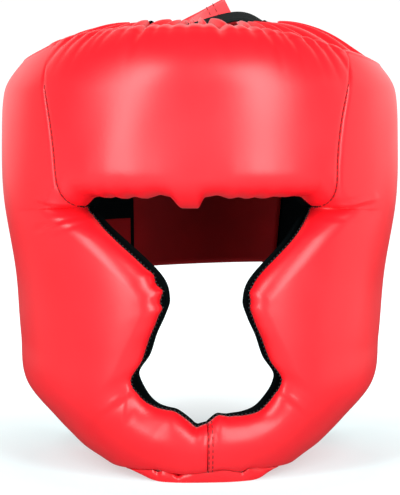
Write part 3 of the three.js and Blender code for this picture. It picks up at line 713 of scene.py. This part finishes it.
def round_grid(columns, rows):
    """Even stations over a closed ring: azimuth round it and v across it."""
    u, v = np.meshgrid(np.arange(columns) / columns, np.linspace(0, 1, rows + 1), indexing="ij")
    return 360 * u - 180, v


def ring_surface(azimuth, v, lift):
    """Points at shares of the crown ring's width, lifted off the smooth ring."""
    edges = curves(RING, "azimuth", "start_height end_height start_depth end_depth")
    start, end, outer, inner = (edge(azimuth) for edge in edges)
    height = mix(start, end, 1 - (1 - np.minimum(v, 1)) ** RING_RISE) + lift
    return shell(azimuth, height, mix(outer, inner, v))


def ring_gather(azimuth):
    """Rounded ridges with sharp valleys between, unevenly spaced round the crown."""
    phase = RING_FOLDS * np.radians(azimuth) / 2 + waves_round(RING_SPACING, azimuth)
    strength = 1 + waves_round(RING_DEPTHS, azimuth)
    return strength * (np.abs(np.cos(phase)) ** RING_RIDGE - RING_CREST)


def crown_ring(columns, rows):
    azimuth, v = round_grid(columns, rows)
    gather = ring_gather(azimuth + waves_round(RING_SWAY, azimuth) * v)
    wave = gather * RING_FOLD * mix(RING_FOLD_START, 1, smoothstep(v, 0, RING_FOLD_RUN))
    return ring_surface(azimuth, v, wave), ring_surface(azimuth, v, wave - RING_THICKNESS)


def crown_lining(columns, rows):
    azimuth, v = round_grid(columns, rows)
    across = mix(*CROWN_LINING_SPAN, v)
    under = -CROWN_LINING_DROP * RING_CREST * RING_FOLD - RING_THICKNESS - CROWN_LINING_GAP
    waves = BINDING_FOLD * RING_FOLD * ring_gather(azimuth + BINDING_SHIFT)
    binding = waves - BINDING_DROP - drops_at(BINDING_STANDS, azimuth)
    lift = mix(under, binding, smoothstep(across, BINDING_FROM, CROWN_LINING_SPAN[1]))
    return ring_surface(azimuth, across, lift), ring_surface(azimuth, across, lift - BINDING / 2)


def closure(columns_of, start, end, thickness, columns, rows):
    """A rear flap or strap between two ends that are given by height."""
    u, v = grid(columns, rows)
    u, v = crowd(u, CLOSURE_CROWD), crowd(v, EDGE_CROWD)
    bottom, top, outside = (edge(u) for edge in curves(columns_of, "at", "bottom top depth"))
    height = mix(bottom, top, v)
    first, last = start(height), end(height)
    azimuth = mix(first, last, u)
    length = np.abs(run_of(last - first))
    from_edge = np.minimum(np.minimum(v, 1 - v) * (top - bottom), np.minimum(u, 1 - u) * length)
    half = rounded(from_edge, thickness, EDGE_ROUND)
    return layer(azimuth, height, outside + thickness / 2, half)


def back_flap(columns, rows):
    def sewn(height):
        return 360 - rear_azimuth(height) - SEWN_GAP

    return closure(FLAP, lambda height: FLAP_END + 0 * height, sewn, FLAP_THICKNESS, columns, rows)


def back_strap(columns, rows):
    def sewn(height):
        return rear_azimuth(height) + SEWN_GAP

    return closure(STRAP, sewn, lambda height: STRAP_END + 0 * height, STRAP_THICKNESS, columns, rows)


def ribbon(columns_of, columns, rows):
    """A flat strap along its middle line, its edges rounded off."""
    count = len(columns_of["x"])
    even = {"at": np.linspace(0, 1, count), **columns_of}
    u = np.linspace(0, 1, columns + 1)
    path = np.stack([place(u) for place in curves(even, "at", "x y z")], -1)
    path[:, 1] -= DEPTH_CENTRE
    along = np.gradient(path, axis=0)
    along /= np.linalg.norm(along, axis=1, keepdims=True)
    flat = np.array([0, 1, 0]) - along * along[:, 1:2]
    flat /= np.linalg.norm(flat, axis=1, keepdims=True)
    up = np.cross(along, flat)
    lean = np.radians(curve(even, "at", "lean")(u))[:, None]
    across = flat * np.cos(lean) + up * np.sin(lean)
    normal = np.cross(along, across)
    v = crowd(np.linspace(0, 1, rows + 1), EDGE_CROWD)
    half = rounded(np.minimum(v, 1 - v) * RIBBON_WIDTH, RIBBON_THICKNESS, RIBBON_ROUND)
    middle = path[:, None] + across[:, None] * ((v - 0.5) * RIBBON_WIDTH)[None, :, None]
    offset = normal[:, None] * half[None, :, None]
    return middle + offset, middle - offset


def chin_hem(columns, rows):
    u, v = grid(columns, rows)
    azimuth = mix(HEM["azimuth"][0], HEM["azimuth"][-1], u)
    along = np.linspace(1, JAW_AT, HEM_SAMPLES)
    pad_edge = np.interp(np.abs(azimuth), back_opening(along), back_height(along)) + chin_foot(azimuth)
    top = pad_edge - HEM_GAP - drops_at(HEM_TUCKS, azimuth)
    height = mix(np.maximum(hem_bottom(azimuth), 0), top, v)
    bottom_depth, top_depth = (edge(azimuth) for edge in curves(HEM, "azimuth", "bottom_depth top_depth"))
    ripples = waves_round(HEM_RIPPLES, azimuth)
    front = mix(bottom_depth, top_depth, v) - HEM_BULGE * np.sin(np.pi * v) + ripples * v
    return shell(azimuth, height, front), shell(azimuth, height, HEM_BACK + 0 * u)


# Meshes


def put(name, data):
    """A new object in the scene."""
    made = bpy.data.objects.new(name, data)
    bpy.context.scene.collection.objects.link(made)
    return made


def solid(name, outer, inner, ring=False, inner_finish=None, edge_finish=None):
    """A closed piece between two grids of points; a ring joins up along its length.

    inner_finish gives the material number of each face of the inner side, edge_finish that of each face
    along the first row's edge.
    """
    stations, across = outer.shape[:2]
    columns = stations if ring else stations - 1
    last = across - 1

    def corner(side, i, j):
        return side * stations * across + (i % stations) * across + j

    def faces(*corners):
        index = np.stack([corner(*c) for c in corners], -1).reshape(-1, 4)
        flat = np.stack([np.stack(np.broadcast_arrays(c[1], c[2]), -1) for c in corners], -2)
        return index, flat.reshape(-1, 4, 2)

    i, j = np.meshgrid(np.arange(columns), np.arange(last), indexing="ij")
    k, m = np.arange(columns), np.arange(last)
    parts = [
        faces((0, i, j), (0, i + 1, j), (0, i + 1, j + 1), (0, i, j + 1)),
        faces((1, i, j), (1, i, j + 1), (1, i + 1, j + 1), (1, i + 1, j)),
        faces((0, k, 0 * k), (1, k, 0 * k), (1, k + 1, 0 * k), (0, k + 1, 0 * k)),
        faces((0, k, 0 * k + last), (0, k + 1, 0 * k + last), (1, k + 1, 0 * k + last), (1, k, 0 * k + last)),
    ]
    if not ring:
        parts.append(faces((0, 0 * m, m), (0, 0 * m, m + 1), (1, 0 * m, m + 1), (1, 0 * m, m)))
        end = 0 * m + columns
        parts.append(faces((0, end, m), (1, end, m), (1, end, m + 1), (0, end, m + 1)))
    index = np.concatenate([part[0] for part in parts])
    flat = np.concatenate([part[1] for part in parts])
    points = np.concatenate([outer.reshape(-1, 3), inner.reshape(-1, 3)])
    a, b, c, d = (points[index[:, n]] for n in range(4))
    volume = np.sum(a * np.cross(b, c)) + np.sum(a * np.cross(c, d))
    if volume < 0:
        index, flat = index[:, ::-1], flat[:, ::-1]
    along = np.linalg.norm(np.diff(outer, axis=0, append=outer[:1]), axis=2).mean(1)
    along = np.concatenate([[0], np.cumsum(along)])
    up = np.linalg.norm(np.diff(outer, axis=1), axis=2).mean(0)
    up = np.concatenate([[0], np.cumsum(up)])
    mesh = bpy.data.meshes.new(name)
    mesh.from_pydata((points * MM).tolist(), [], index.tolist())
    cut = mesh.uv_layers.new(name="cut_mm")
    uv = np.stack([along[flat[..., 0]], up[flat[..., 1]]], -1)
    cut.data.foreach_set("uv", uv.astype(np.float32).ravel())
    mesh.polygons.foreach_set("use_smooth", np.ones(len(index), bool))
    finish = np.zeros(len(index), np.int32)
    if inner_finish is not None:
        finish[len(parts[0][0]) :][: inner_finish.size] = inner_finish.ravel()
    if edge_finish is not None:
        finish[len(parts[0][0]) + len(parts[1][0]) :][: edge_finish.size] = edge_finish
    mesh.polygons.foreach_set("material_index", finish)
    mesh.validate()
    mesh.set_sharp_from_angle(angle=SHARP_EDGE)
    return put(name, mesh)


# Materials

CLOUD_MM = 45  # width of the slow changes in the leather's tone and gloss
PILE_MM = 1.0  # width of the loop tape's tufts
TWIST_MM = 0.8  # length of the thread's twist
WEAVE_MM = 1.1  # the real lining's threads lie 0.4 mm apart; they are drawn coarser so that they show
WAVE_RADIANS = 20  # how far the wave texture turns for each unit of its scale
FLOOR_CLOUDS = 1.5  # slow changes in the floor's tone, for each metre
FLOOR_MIDDLE = (0, -0.04, 0)  # in metres, under the front of the headgear
# The glow is painted light: half as strong near the headgear, as painted shade that deepens its rendered
# shadow, and full further off, where it whitens the rendered shadow behind it
FLOOR_GLOW = {"From Min": 0.1, "From Max": 0.32, "To Min": 0.5, "To Max": 1}  # by the distance from there


def linear(hex_colour):
    """An sRGB hex colour as linear red, green, blue and alpha."""
    parts = [int(hex_colour[i : i + 2], 16) / 255 for i in (1, 3, 5)]
    return [p / 12.92 if p <= 0.04045 else ((p + 0.055) / 1.055) ** 2.4 for p in parts] + [1]


def feed(tree, node, inputs):
    """Sets a node's values and links."""
    for name, value in inputs.items():
        if isinstance(value, bpy.types.NodeSocket):
            tree.links.new(value, node.inputs[name])
        else:
            node.inputs[name].default_value = value


def add(tree, kind, inputs=None, **settings):
    """A node with its settings, values and links."""
    node = tree.nodes.new(kind)
    for name, value in settings.items():
        setattr(node, name, value)
    feed(tree, node, inputs or {})
    return node


def finish_of(name):
    """A new material with its tree and its shader."""
    material = bpy.data.materials.new(name)
    material.use_nodes = True
    tree = material.node_tree
    return material, tree, tree.nodes["Principled BSDF"]


def coated_leather(name, dark, bright, grain_mm, grain_depth_mm, rough, specular=0.5):
    """Polyurethane-coated leather, embossed: even saturated colour, broad soft highlights, faint grain."""
    material, tree, shader = finish_of(name)
    place = add(tree, "ShaderNodeTexCoord").outputs["Object"]
    slow = {"Vector": place, "Scale": 1 / (CLOUD_MM * MM), "Detail": 3}
    cloud = add(tree, "ShaderNodeTexNoise", slow).outputs["Fac"]
    colours = {"Factor": cloud, 6: linear(dark), 7: linear(bright)}
    tone = add(tree, "ShaderNodeMix", colours, data_type="RGBA").outputs[2]
    span = {"From Min": 0.3, "From Max": 0.7, "To Min": rough[0], "To Max": rough[1]}
    gloss = add(tree, "ShaderNodeMapRange", {"Value": cloud, **span}).outputs["Result"]
    cells = {"Vector": place, "Scale": 1 / (grain_mm * MM)}
    grain = add(tree, "ShaderNodeTexVoronoi", cells, feature="SMOOTH_F1").outputs["Distance"]
    relief = {"Height": grain, "Strength": 0.5, "Distance": grain_depth_mm * MM}
    bump = add(tree, "ShaderNodeBump", relief).outputs["Normal"]
    feed(tree, shader, {"Base Color": tone, "Roughness": gloss, "Normal": bump})
    feed(tree, shader, {"IOR": 1.5, "Specular IOR Level": specular})
    return material


def woven_lining():
    """Woven polyester lining, dyed: near black and matt, with threads that just show."""
    material, tree, shader = finish_of("woven polyester lining, dyed black")
    cut = add(tree, "ShaderNodeUVMap", uv_map="cut_mm").outputs["UV"]
    scale = 2 * math.pi / (WEAVE_MM * WAVE_RADIANS)
    threads = {"Vector": cut, "Scale": scale, "Distortion": 0.6, "Detail": 1}
    warp, weft = (add(tree, "ShaderNodeTexWave", threads, bands_direction=direction) for direction in "XY")
    crossing = {0: warp.outputs["Fac"], 1: weft.outputs["Fac"]}
    weave = add(tree, "ShaderNodeMath", crossing, operation="MULTIPLY").outputs[0]
    colours = {"Factor": weave, 6: linear("#010506"), 7: linear("#060C0E")}
    tone = add(tree, "ShaderNodeMix", colours, data_type="RGBA").outputs[2]
    relief = {"Height": weave, "Strength": 0.5, "Distance": 0.2 * MM}
    bump = add(tree, "ShaderNodeBump", relief).outputs["Normal"]
    feed(tree, shader, {"Base Color": tone, "Normal": bump, "Roughness": 0.9, "Specular IOR Level": 0.06})
    return material


def loop_tape():
    """Nylon loop tape, brushed: a matt pile that swallows light, with tufts a millimetre across."""
    material, tree, shader = finish_of("nylon loop tape, brushed black")
    place = add(tree, "ShaderNodeTexCoord").outputs["Object"]
    tufts = {"Vector": place, "Scale": 1 / (PILE_MM * MM), "Detail": 2}
    pile = add(tree, "ShaderNodeTexNoise", tufts).outputs["Fac"]
    colours = {"Factor": pile, 6: linear("#0A0D0D"), 7: linear("#262B2B")}
    tone = add(tree, "ShaderNodeMix", colours, data_type="RGBA").outputs[2]
    relief = {"Height": pile, "Strength": 0.8, "Distance": 0.4 * MM}
    bump = add(tree, "ShaderNodeBump", relief).outputs["Normal"]
    feed(tree, shader, {"Base Color": tone, "Normal": bump, "Roughness": 1, "Specular IOR Level": 0.1})
    return material


def sewing_thread(name, dark, bright):
    """Bonded polyester thread, twisted: a fine satin cord, darker than the leather it lies in."""
    material, tree, shader = finish_of(name)
    place = add(tree, "ShaderNodeTexCoord").outputs["Object"]
    fine = {"Vector": place, "Scale": 1 / (TWIST_MM * MM), "Detail": 1}
    strands = add(tree, "ShaderNodeTexNoise", fine).outputs["Fac"]
    colours = {"Factor": strands, 6: linear(dark), 7: linear(bright)}
    tone = add(tree, "ShaderNodeMix", colours, data_type="RGBA").outputs[2]
    feed(tree, shader, {"Base Color": tone, "Roughness": 0.6})
    return material


def studio_floor():
    """Matt acrylic board, lit from within: plain white, with a soft shadow under the object; its glow is
    painted light, dimmer near the object as painted shade.
    """
    material, tree, shader = finish_of("acrylic board, matt, lit from within")
    place = add(tree, "ShaderNodeTexCoord").outputs["Object"]
    slow = {"Vector": place, "Scale": FLOOR_CLOUDS, "Detail": 2}
    cloud = add(tree, "ShaderNodeTexNoise", slow).outputs["Fac"]
    # The cyan tint takes the pink out of the red light that the headgear throws on the floor: painted light
    colours = {"Factor": cloud, 6: linear("#A0C0C2"), 7: linear("#A4C4C6")}
    tone = add(tree, "ShaderNodeMix", colours, data_type="RGBA").outputs[2]
    apart = {0: place, 1: FLOOR_MIDDLE}
    away = add(tree, "ShaderNodeVectorMath", apart, operation="DISTANCE").outputs["Value"]
    glow = add(tree, "ShaderNodeMapRange", {"Value": away, **FLOOR_GLOW}).outputs["Result"]
    feed(tree, shader, {"Base Color": tone, "Roughness": 0.9, "Specular IOR Level": 0})
    feed(tree, shader, {"Emission Color": (1, 1, 1, 1), "Emission Strength": glow})
    return material


red_leather = coated_leather(
    "polyurethane-coated leather, embossed", "#E4121E", "#EA1824",
    grain_mm=1.3, grain_depth_mm=0.04, rough=(0.32, 0.38),
)
# The flap's inner face: dark red as painted shade of the hollow inside the head, matt, with a coarser grain
# and hardly a highlight
inside_leather_painted_shade = coated_leather(
    "coated leather, darkened as painted shade", "#5C0509", "#A40B12",
    grain_mm=1.6, grain_depth_mm=0.08, rough=(0.6, 0.7), specular=0.12,
)
lining_cloth = woven_lining()
tape_pile = loop_tape()
red_thread = sewing_thread("bonded polyester thread, dark red", "#7C0A11", "#980F18")
black_thread = sewing_thread("bonded polyester thread, black", "#07090A", "#1A1E1F")


# Stitches


def stitch_tree():
    """Stitches set out along a path: spaced, laid along it and facing out from the head."""
    tree = bpy.data.node_groups.new("stitch_row", "GeometryNodeTree")
    sockets = tree.interface
    sockets.new_socket("Geometry", in_out="INPUT", socket_type="NodeSocketGeometry")
    for name in ("Pitch", "Length", "Width", "Height"):
        sockets.new_socket(name, in_out="INPUT", socket_type="NodeSocketFloat")
    sockets.new_socket("Thread", in_out="INPUT", socket_type="NodeSocketMaterial")
    sockets.new_socket("Geometry", in_out="OUTPUT", socket_type="NodeSocketGeometry")
    given = add(tree, "NodeGroupInput").outputs
    path = add(tree, "GeometryNodeMeshToCurve", {"Mesh": given["Geometry"]})
    spaced = {"Curve": path.outputs[0], "Length": given["Pitch"]}
    points = add(tree, "GeometryNodeResampleCurve", spaced, mode="LENGTH")
    sides = {"X": given["Length"], "Y": given["Width"], "Z": given["Height"]}
    size = add(tree, "ShaderNodeCombineXYZ", sides)
    bead = add(tree, "GeometryNodeMeshUVSphere", {"Segments": 8, "Rings": 5, "Radius": 0.5})
    stitch = add(tree, "GeometryNodeTransform", {"Geometry": bead.outputs["Mesh"], "Scale": size.outputs[0]})
    tangent = add(tree, "GeometryNodeInputTangent")
    along = add(tree, "FunctionNodeAlignRotationToVector", {"Vector": tangent.outputs[0]}, axis="X")
    place = add(tree, "GeometryNodeInputPosition")
    level = {0: place.outputs[0], 1: (1, 1, 0)}
    away = add(tree, "ShaderNodeVectorMath", level, operation="MULTIPLY")
    turn = {"Rotation": along.outputs[0], "Vector": away.outputs[0]}
    facing = add(tree, "FunctionNodeAlignRotationToVector", turn, axis="Z", pivot_axis="X")
    lay = {"Points": points.outputs[0], "Instance": stitch.outputs[0], "Rotation": facing.outputs[0]}
    laid = add(tree, "GeometryNodeInstanceOnPoints", lay)
    real = add(tree, "GeometryNodeRealizeInstances", {"Geometry": laid.outputs[0]})
    sewn = add(tree, "GeometryNodeSetMaterial", {"Geometry": real.outputs[0], "Material": given["Thread"]})
    add(tree, "NodeGroupOutput", {"Geometry": sewn.outputs[0]})
    return tree


STITCHES = stitch_tree()


def stitches(name, paths, length, width, thread, pitch=STITCH_PITCH):
    """One piece of stitches along several paths of points in millimetres."""
    mesh = bpy.data.meshes.new(name)
    points = np.concatenate(paths) * MM
    starts = np.cumsum([0] + [len(path) for path in paths])
    edges = [(k, k + 1) for a, b in zip(starts[:-1], starts[1:]) for k in range(a, b - 1)]
    mesh.from_pydata(points.tolist(), edges, [])
    row = put(name + "_path", mesh)
    modifier = row.modifiers.new("stitches", "NODES")
    modifier.node_group = STITCHES
    values = {"Pitch": pitch * MM, "Length": length * MM, "Width": width * MM, "Height": THREAD * MM}
    values["Thread"] = thread
    for item in STITCHES.interface.items_tree:
        if item.in_out == "INPUT" and item.name in values:
            modifier[item.identifier] = values[item.name]
    graph = bpy.context.evaluated_depsgraph_get()
    made = bpy.data.meshes.new_from_object(row.evaluated_get(graph))
    row.modifiers.remove(modifier)
    bpy.data.objects.remove(row)
    made.name = name
    made.polygons.foreach_set("use_smooth", np.ones(len(made.polygons), bool))
    return put(name, made)


def beside(outer, distance):
    """Points of a panel at a distance from its last station, one for each row."""
    back = outer[::-1]
    step = np.linalg.norm(np.diff(back, axis=0), axis=2)
    run = np.concatenate([0 * step[:1], np.cumsum(step, axis=0)])
    rows = range(back.shape[1])
    return np.array([[np.interp(distance, run[:, j], back[:, j, axis]) for axis in range(3)] for j in rows])


def outwards(points, rise):
    """Points moved out from the upright axis."""
    level = points * np.array([1, 1, 0])
    return points + rise * level / np.linalg.norm(level, axis=-1, keepdims=True)


# Pieces


def settle(piece, node, slot, *finishes):
    """Gives a piece its finishes and sets it in the place of a solid."""
    for finish in finishes:
        piece.data.materials.append(finish)
    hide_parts(node)
    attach(piece, "root")
    return piece


brow_outer, brow_inner = forehead(*FOREHEAD_STATIONS)
bound = np.ones(FOREHEAD_STATIONS[0], int)
forehead_solid = solid("forehead_padding", brow_outer, brow_inner, edge_finish=bound)
forehead_piece = settle(forehead_solid, "forehead_pad", "leather_red", red_leather, lining_cloth)

EYE_STATION = round(CHEEK_STATIONS[0] * SEAM_SHARE) - 2  # first station beside the face opening
bound = (np.arange(CHEEK_STATIONS[0]) >= EYE_STATION).astype(int)
cheek_outer = {}
for side, hand in ((-1, "left"), (1, "right")):
    outer, inner = cheek(side, *CHEEK_STATIONS)
    cheek_outer[side] = outer
    cheek_solid = solid(f"cheek_padding_{hand}", outer, inner, edge_finish=bound)
    piece = settle(cheek_solid, f"cheek_pad_{hand}", "leather_red", red_leather, lining_cloth)

for name, node, (outer, inner) in (
    ("forehead_cloth", "lining_forehead", forehead_lining(*FOREHEAD_LINING_STATIONS)),
    ("cheek_cloth_left", "lining_left", cheek_lining(-1, *CHEEK_LINING_STATIONS)),
    ("cheek_cloth_right", "lining_right", cheek_lining(1, *CHEEK_LINING_STATIONS)),
):
    piece = settle(solid(name, outer, inner), node, "lining_black", lining_cloth)

for name, node, slot, finish, (outer, inner) in (
    ("gathered_crown", "crown_ring", "leather_red", red_leather, crown_ring(*RING_STATIONS)),
    ("crown_cloth", "crown_lining", "lining_black", lining_cloth, crown_lining(*CROWN_LINING_STATIONS)),
):
    piece = settle(solid(name, outer, inner, ring=True), node, slot, finish)

# Finish 1 on the flap's inner side is the darkened leather, painted shade of the hollow inside the head
SHADED_INSIDE, BLACK_FACING_AND_SHADE = 1, 2  # numbers of the flap's finishes on its inner side
flap_outer, flap_inner = back_flap(*FLAP_STATIONS)
across, up = flap_inner[:-1, :-1, 0], flap_inner[:-1, :-1, 2]
sewn_part = across < FLAP_FACING_X
# The black strip along the facing's edge, all the way down, is painted shadow of the gap beside the flap's
# seam
faced_and_shaded = sewn_part & ((up > FLAP_FACING_Z) | (across > FLAP_FACING_X - FLAP_SHADE_STRIP))
facing = np.where(faced_and_shaded, BLACK_FACING_AND_SHADE, SHADED_INSIDE)
flap_solid = solid("rear_flap", flap_outer, flap_inner, inner_finish=facing)
flap_piece = settle(flap_solid, "back_flap", "leather_red", red_leather, inside_leather_painted_shade, lining_cloth)
strap_outer, strap_inner = back_strap(*STRAP_STATIONS)
strap_solid = solid("rear_strap", strap_outer, strap_inner, inner_finish=np.ones(STRAP_STATIONS, int))
strap_piece = settle(strap_solid, "back_strap", "leather_red", red_leather, lining_cloth)

top_outer, top_inner = ribbon(CROWN_STRAP, *CROWN_STRAP_STATIONS)
settle(solid("crown_strap_leather", top_outer, top_inner), "crown_strap", "leather_red", red_leather)
tab_outer, tab_inner = ribbon(CROWN_TAB, *CROWN_TAB_STATIONS)
settle(solid("crown_loop_tape", tab_outer, tab_inner), "crown_tab", "loop_tape_black", tape_pile)

hem_outer, hem_inner = chin_hem(*HEM_STATIONS)
hem_piece = settle(solid("chin_fold", hem_outer, hem_inner), "chin_hem", "leather_red", red_leather)

seams = [outwards(brow_outer[n, SEAM_ROW_ENDS], SEAM_ROW_RISE) for n in (0, -1)]
chin_rows = [outwards(beside(cheek_outer[1], away)[CHIN_ROW_ENDS], CHIN_ROW_RISE) for away in CHIN_ROWS]
strap_rows = [face[n, STRAP_ROW_ENDS] for face in (top_outer, top_inner) for n in STRAP_END_ROWS]
red_rows = stitches("seam_stitches", seams + chin_rows + strap_rows, STITCH_LENGTH, THREAD, red_thread)
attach(red_rows, "root")
edge_rows = [outwards(cheek_outer[side][EYE_STATION:, 0], OVERCAST_RISE) for side in (-1, 1)]
overcast = stitches("face_edge_stitches", edge_rows, *OVERCAST, black_thread, OVERCAST_PITCH)
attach(overcast, "root")

# Floor, light and camera
FLOOR = 150  # half width, in metres as all that follows
corners = [(x * FLOOR, y * FLOOR, 0) for x, y in ((-1, -1), (1, -1), (1, 1), (-1, 1))]
floor_mesh = bpy.data.meshes.new("studio_floor")
floor_mesh.from_pydata(corners, [], [(0, 1, 2, 3)])
floor_mesh.materials.append(studio_floor())
floor = put("studio_floor", floor_mesh)
floor.visible_glossy = False

MIDDLE = Vector((0, 0, 0.119))  # what the lights and the camera are turned to
SOFTBOXES = (
    # name, azimuth, elevation, distance, width, height, radiance
    ("softbox_left", -33, 27, 1.5, 0.4, 1.5, 11),
    ("softbox_right", 29, 27, 1.5, 0.54, 1.5, 8.6),
    ("softbox_side", 100, 12, 1.9, 1.8, 1.8, 0.75),
    ("softbox_far", -104, 12, 1.9, 1.8, 1.8, 0.2),
)
for name, azimuth, elevation, distance, width, height, radiance in SOFTBOXES:
    lamp = bpy.data.lights.new(name, "AREA")
    lamp.shape = "RECTANGLE"
    lamp.size, lamp.size_y = width, height
    lamp.energy = radiance * math.pi * width * height
    box = put(name, lamp)
    a, e = math.radians(azimuth), math.radians(elevation)
    away = Vector((math.sin(a) * math.cos(e), -math.cos(a) * math.cos(e), math.sin(e)))
    box.location = MIDDLE + away * distance
    box.rotation_euler = (-away).to_track_quat("-Z", "Y").to_euler()
    box.visible_camera = False

STUDIO = (
    # direction, where a change starts and ends along it, light before and after, and how it blends
    ("Y", 0.35, 0.72, 0.24, 1.04, "SMOOTHSTEP"),  # dim to the front and sides, a white wall behind
    ("Z", -0.12, -0.01, 0.08, 1, "LINEAR"),  # little light from below
    ("Z", 0.35, 0.75, 1, 0.45, "SMOOTHSTEP"),  # less from above
)
world = bpy.data.worlds.new("white_studio")
world.use_nodes = True
studio = world.node_tree
generated = add(studio, "ShaderNodeTexCoord").outputs["Generated"]
toward = add(studio, "ShaderNodeSeparateXYZ", {0: generated}).outputs
strength = 1
for axis, start, end, before, after, blend in STUDIO:
    span = {"From Min": start, "From Max": end, "To Min": before, "To Max": after}
    change = add(studio, "ShaderNodeMapRange", {"Value": toward[axis], **span}, interpolation_type=blend)
    factors = {0: change.outputs["Result"], 1: strength}
    strength = add(studio, "ShaderNodeMath", factors, operation="MULTIPLY").outputs[0]
feed(studio, studio.nodes["Background"], {"Color": (1, 1, 1, 1), "Strength": strength})
bpy.context.scene.world = world
bpy.context.scene.view_settings.view_transform = "Standard"

PHOTO_LENS = 162.6  # focal length, in mm
SENSOR_WIDTH = 36
CAMERA_PLACE = (0, -1.3, 0.239)
lens = bpy.data.cameras.new("photo_camera")
lens.lens = PHOTO_LENS
lens.sensor_width = SENSOR_WIDTH
camera = put("photo_camera", lens)
camera.location = CAMERA_PLACE
camera.rotation_euler = (MIDDLE - camera.location).to_track_quat("-Z", "Y").to_euler()
bpy.context.scene.camera = camera
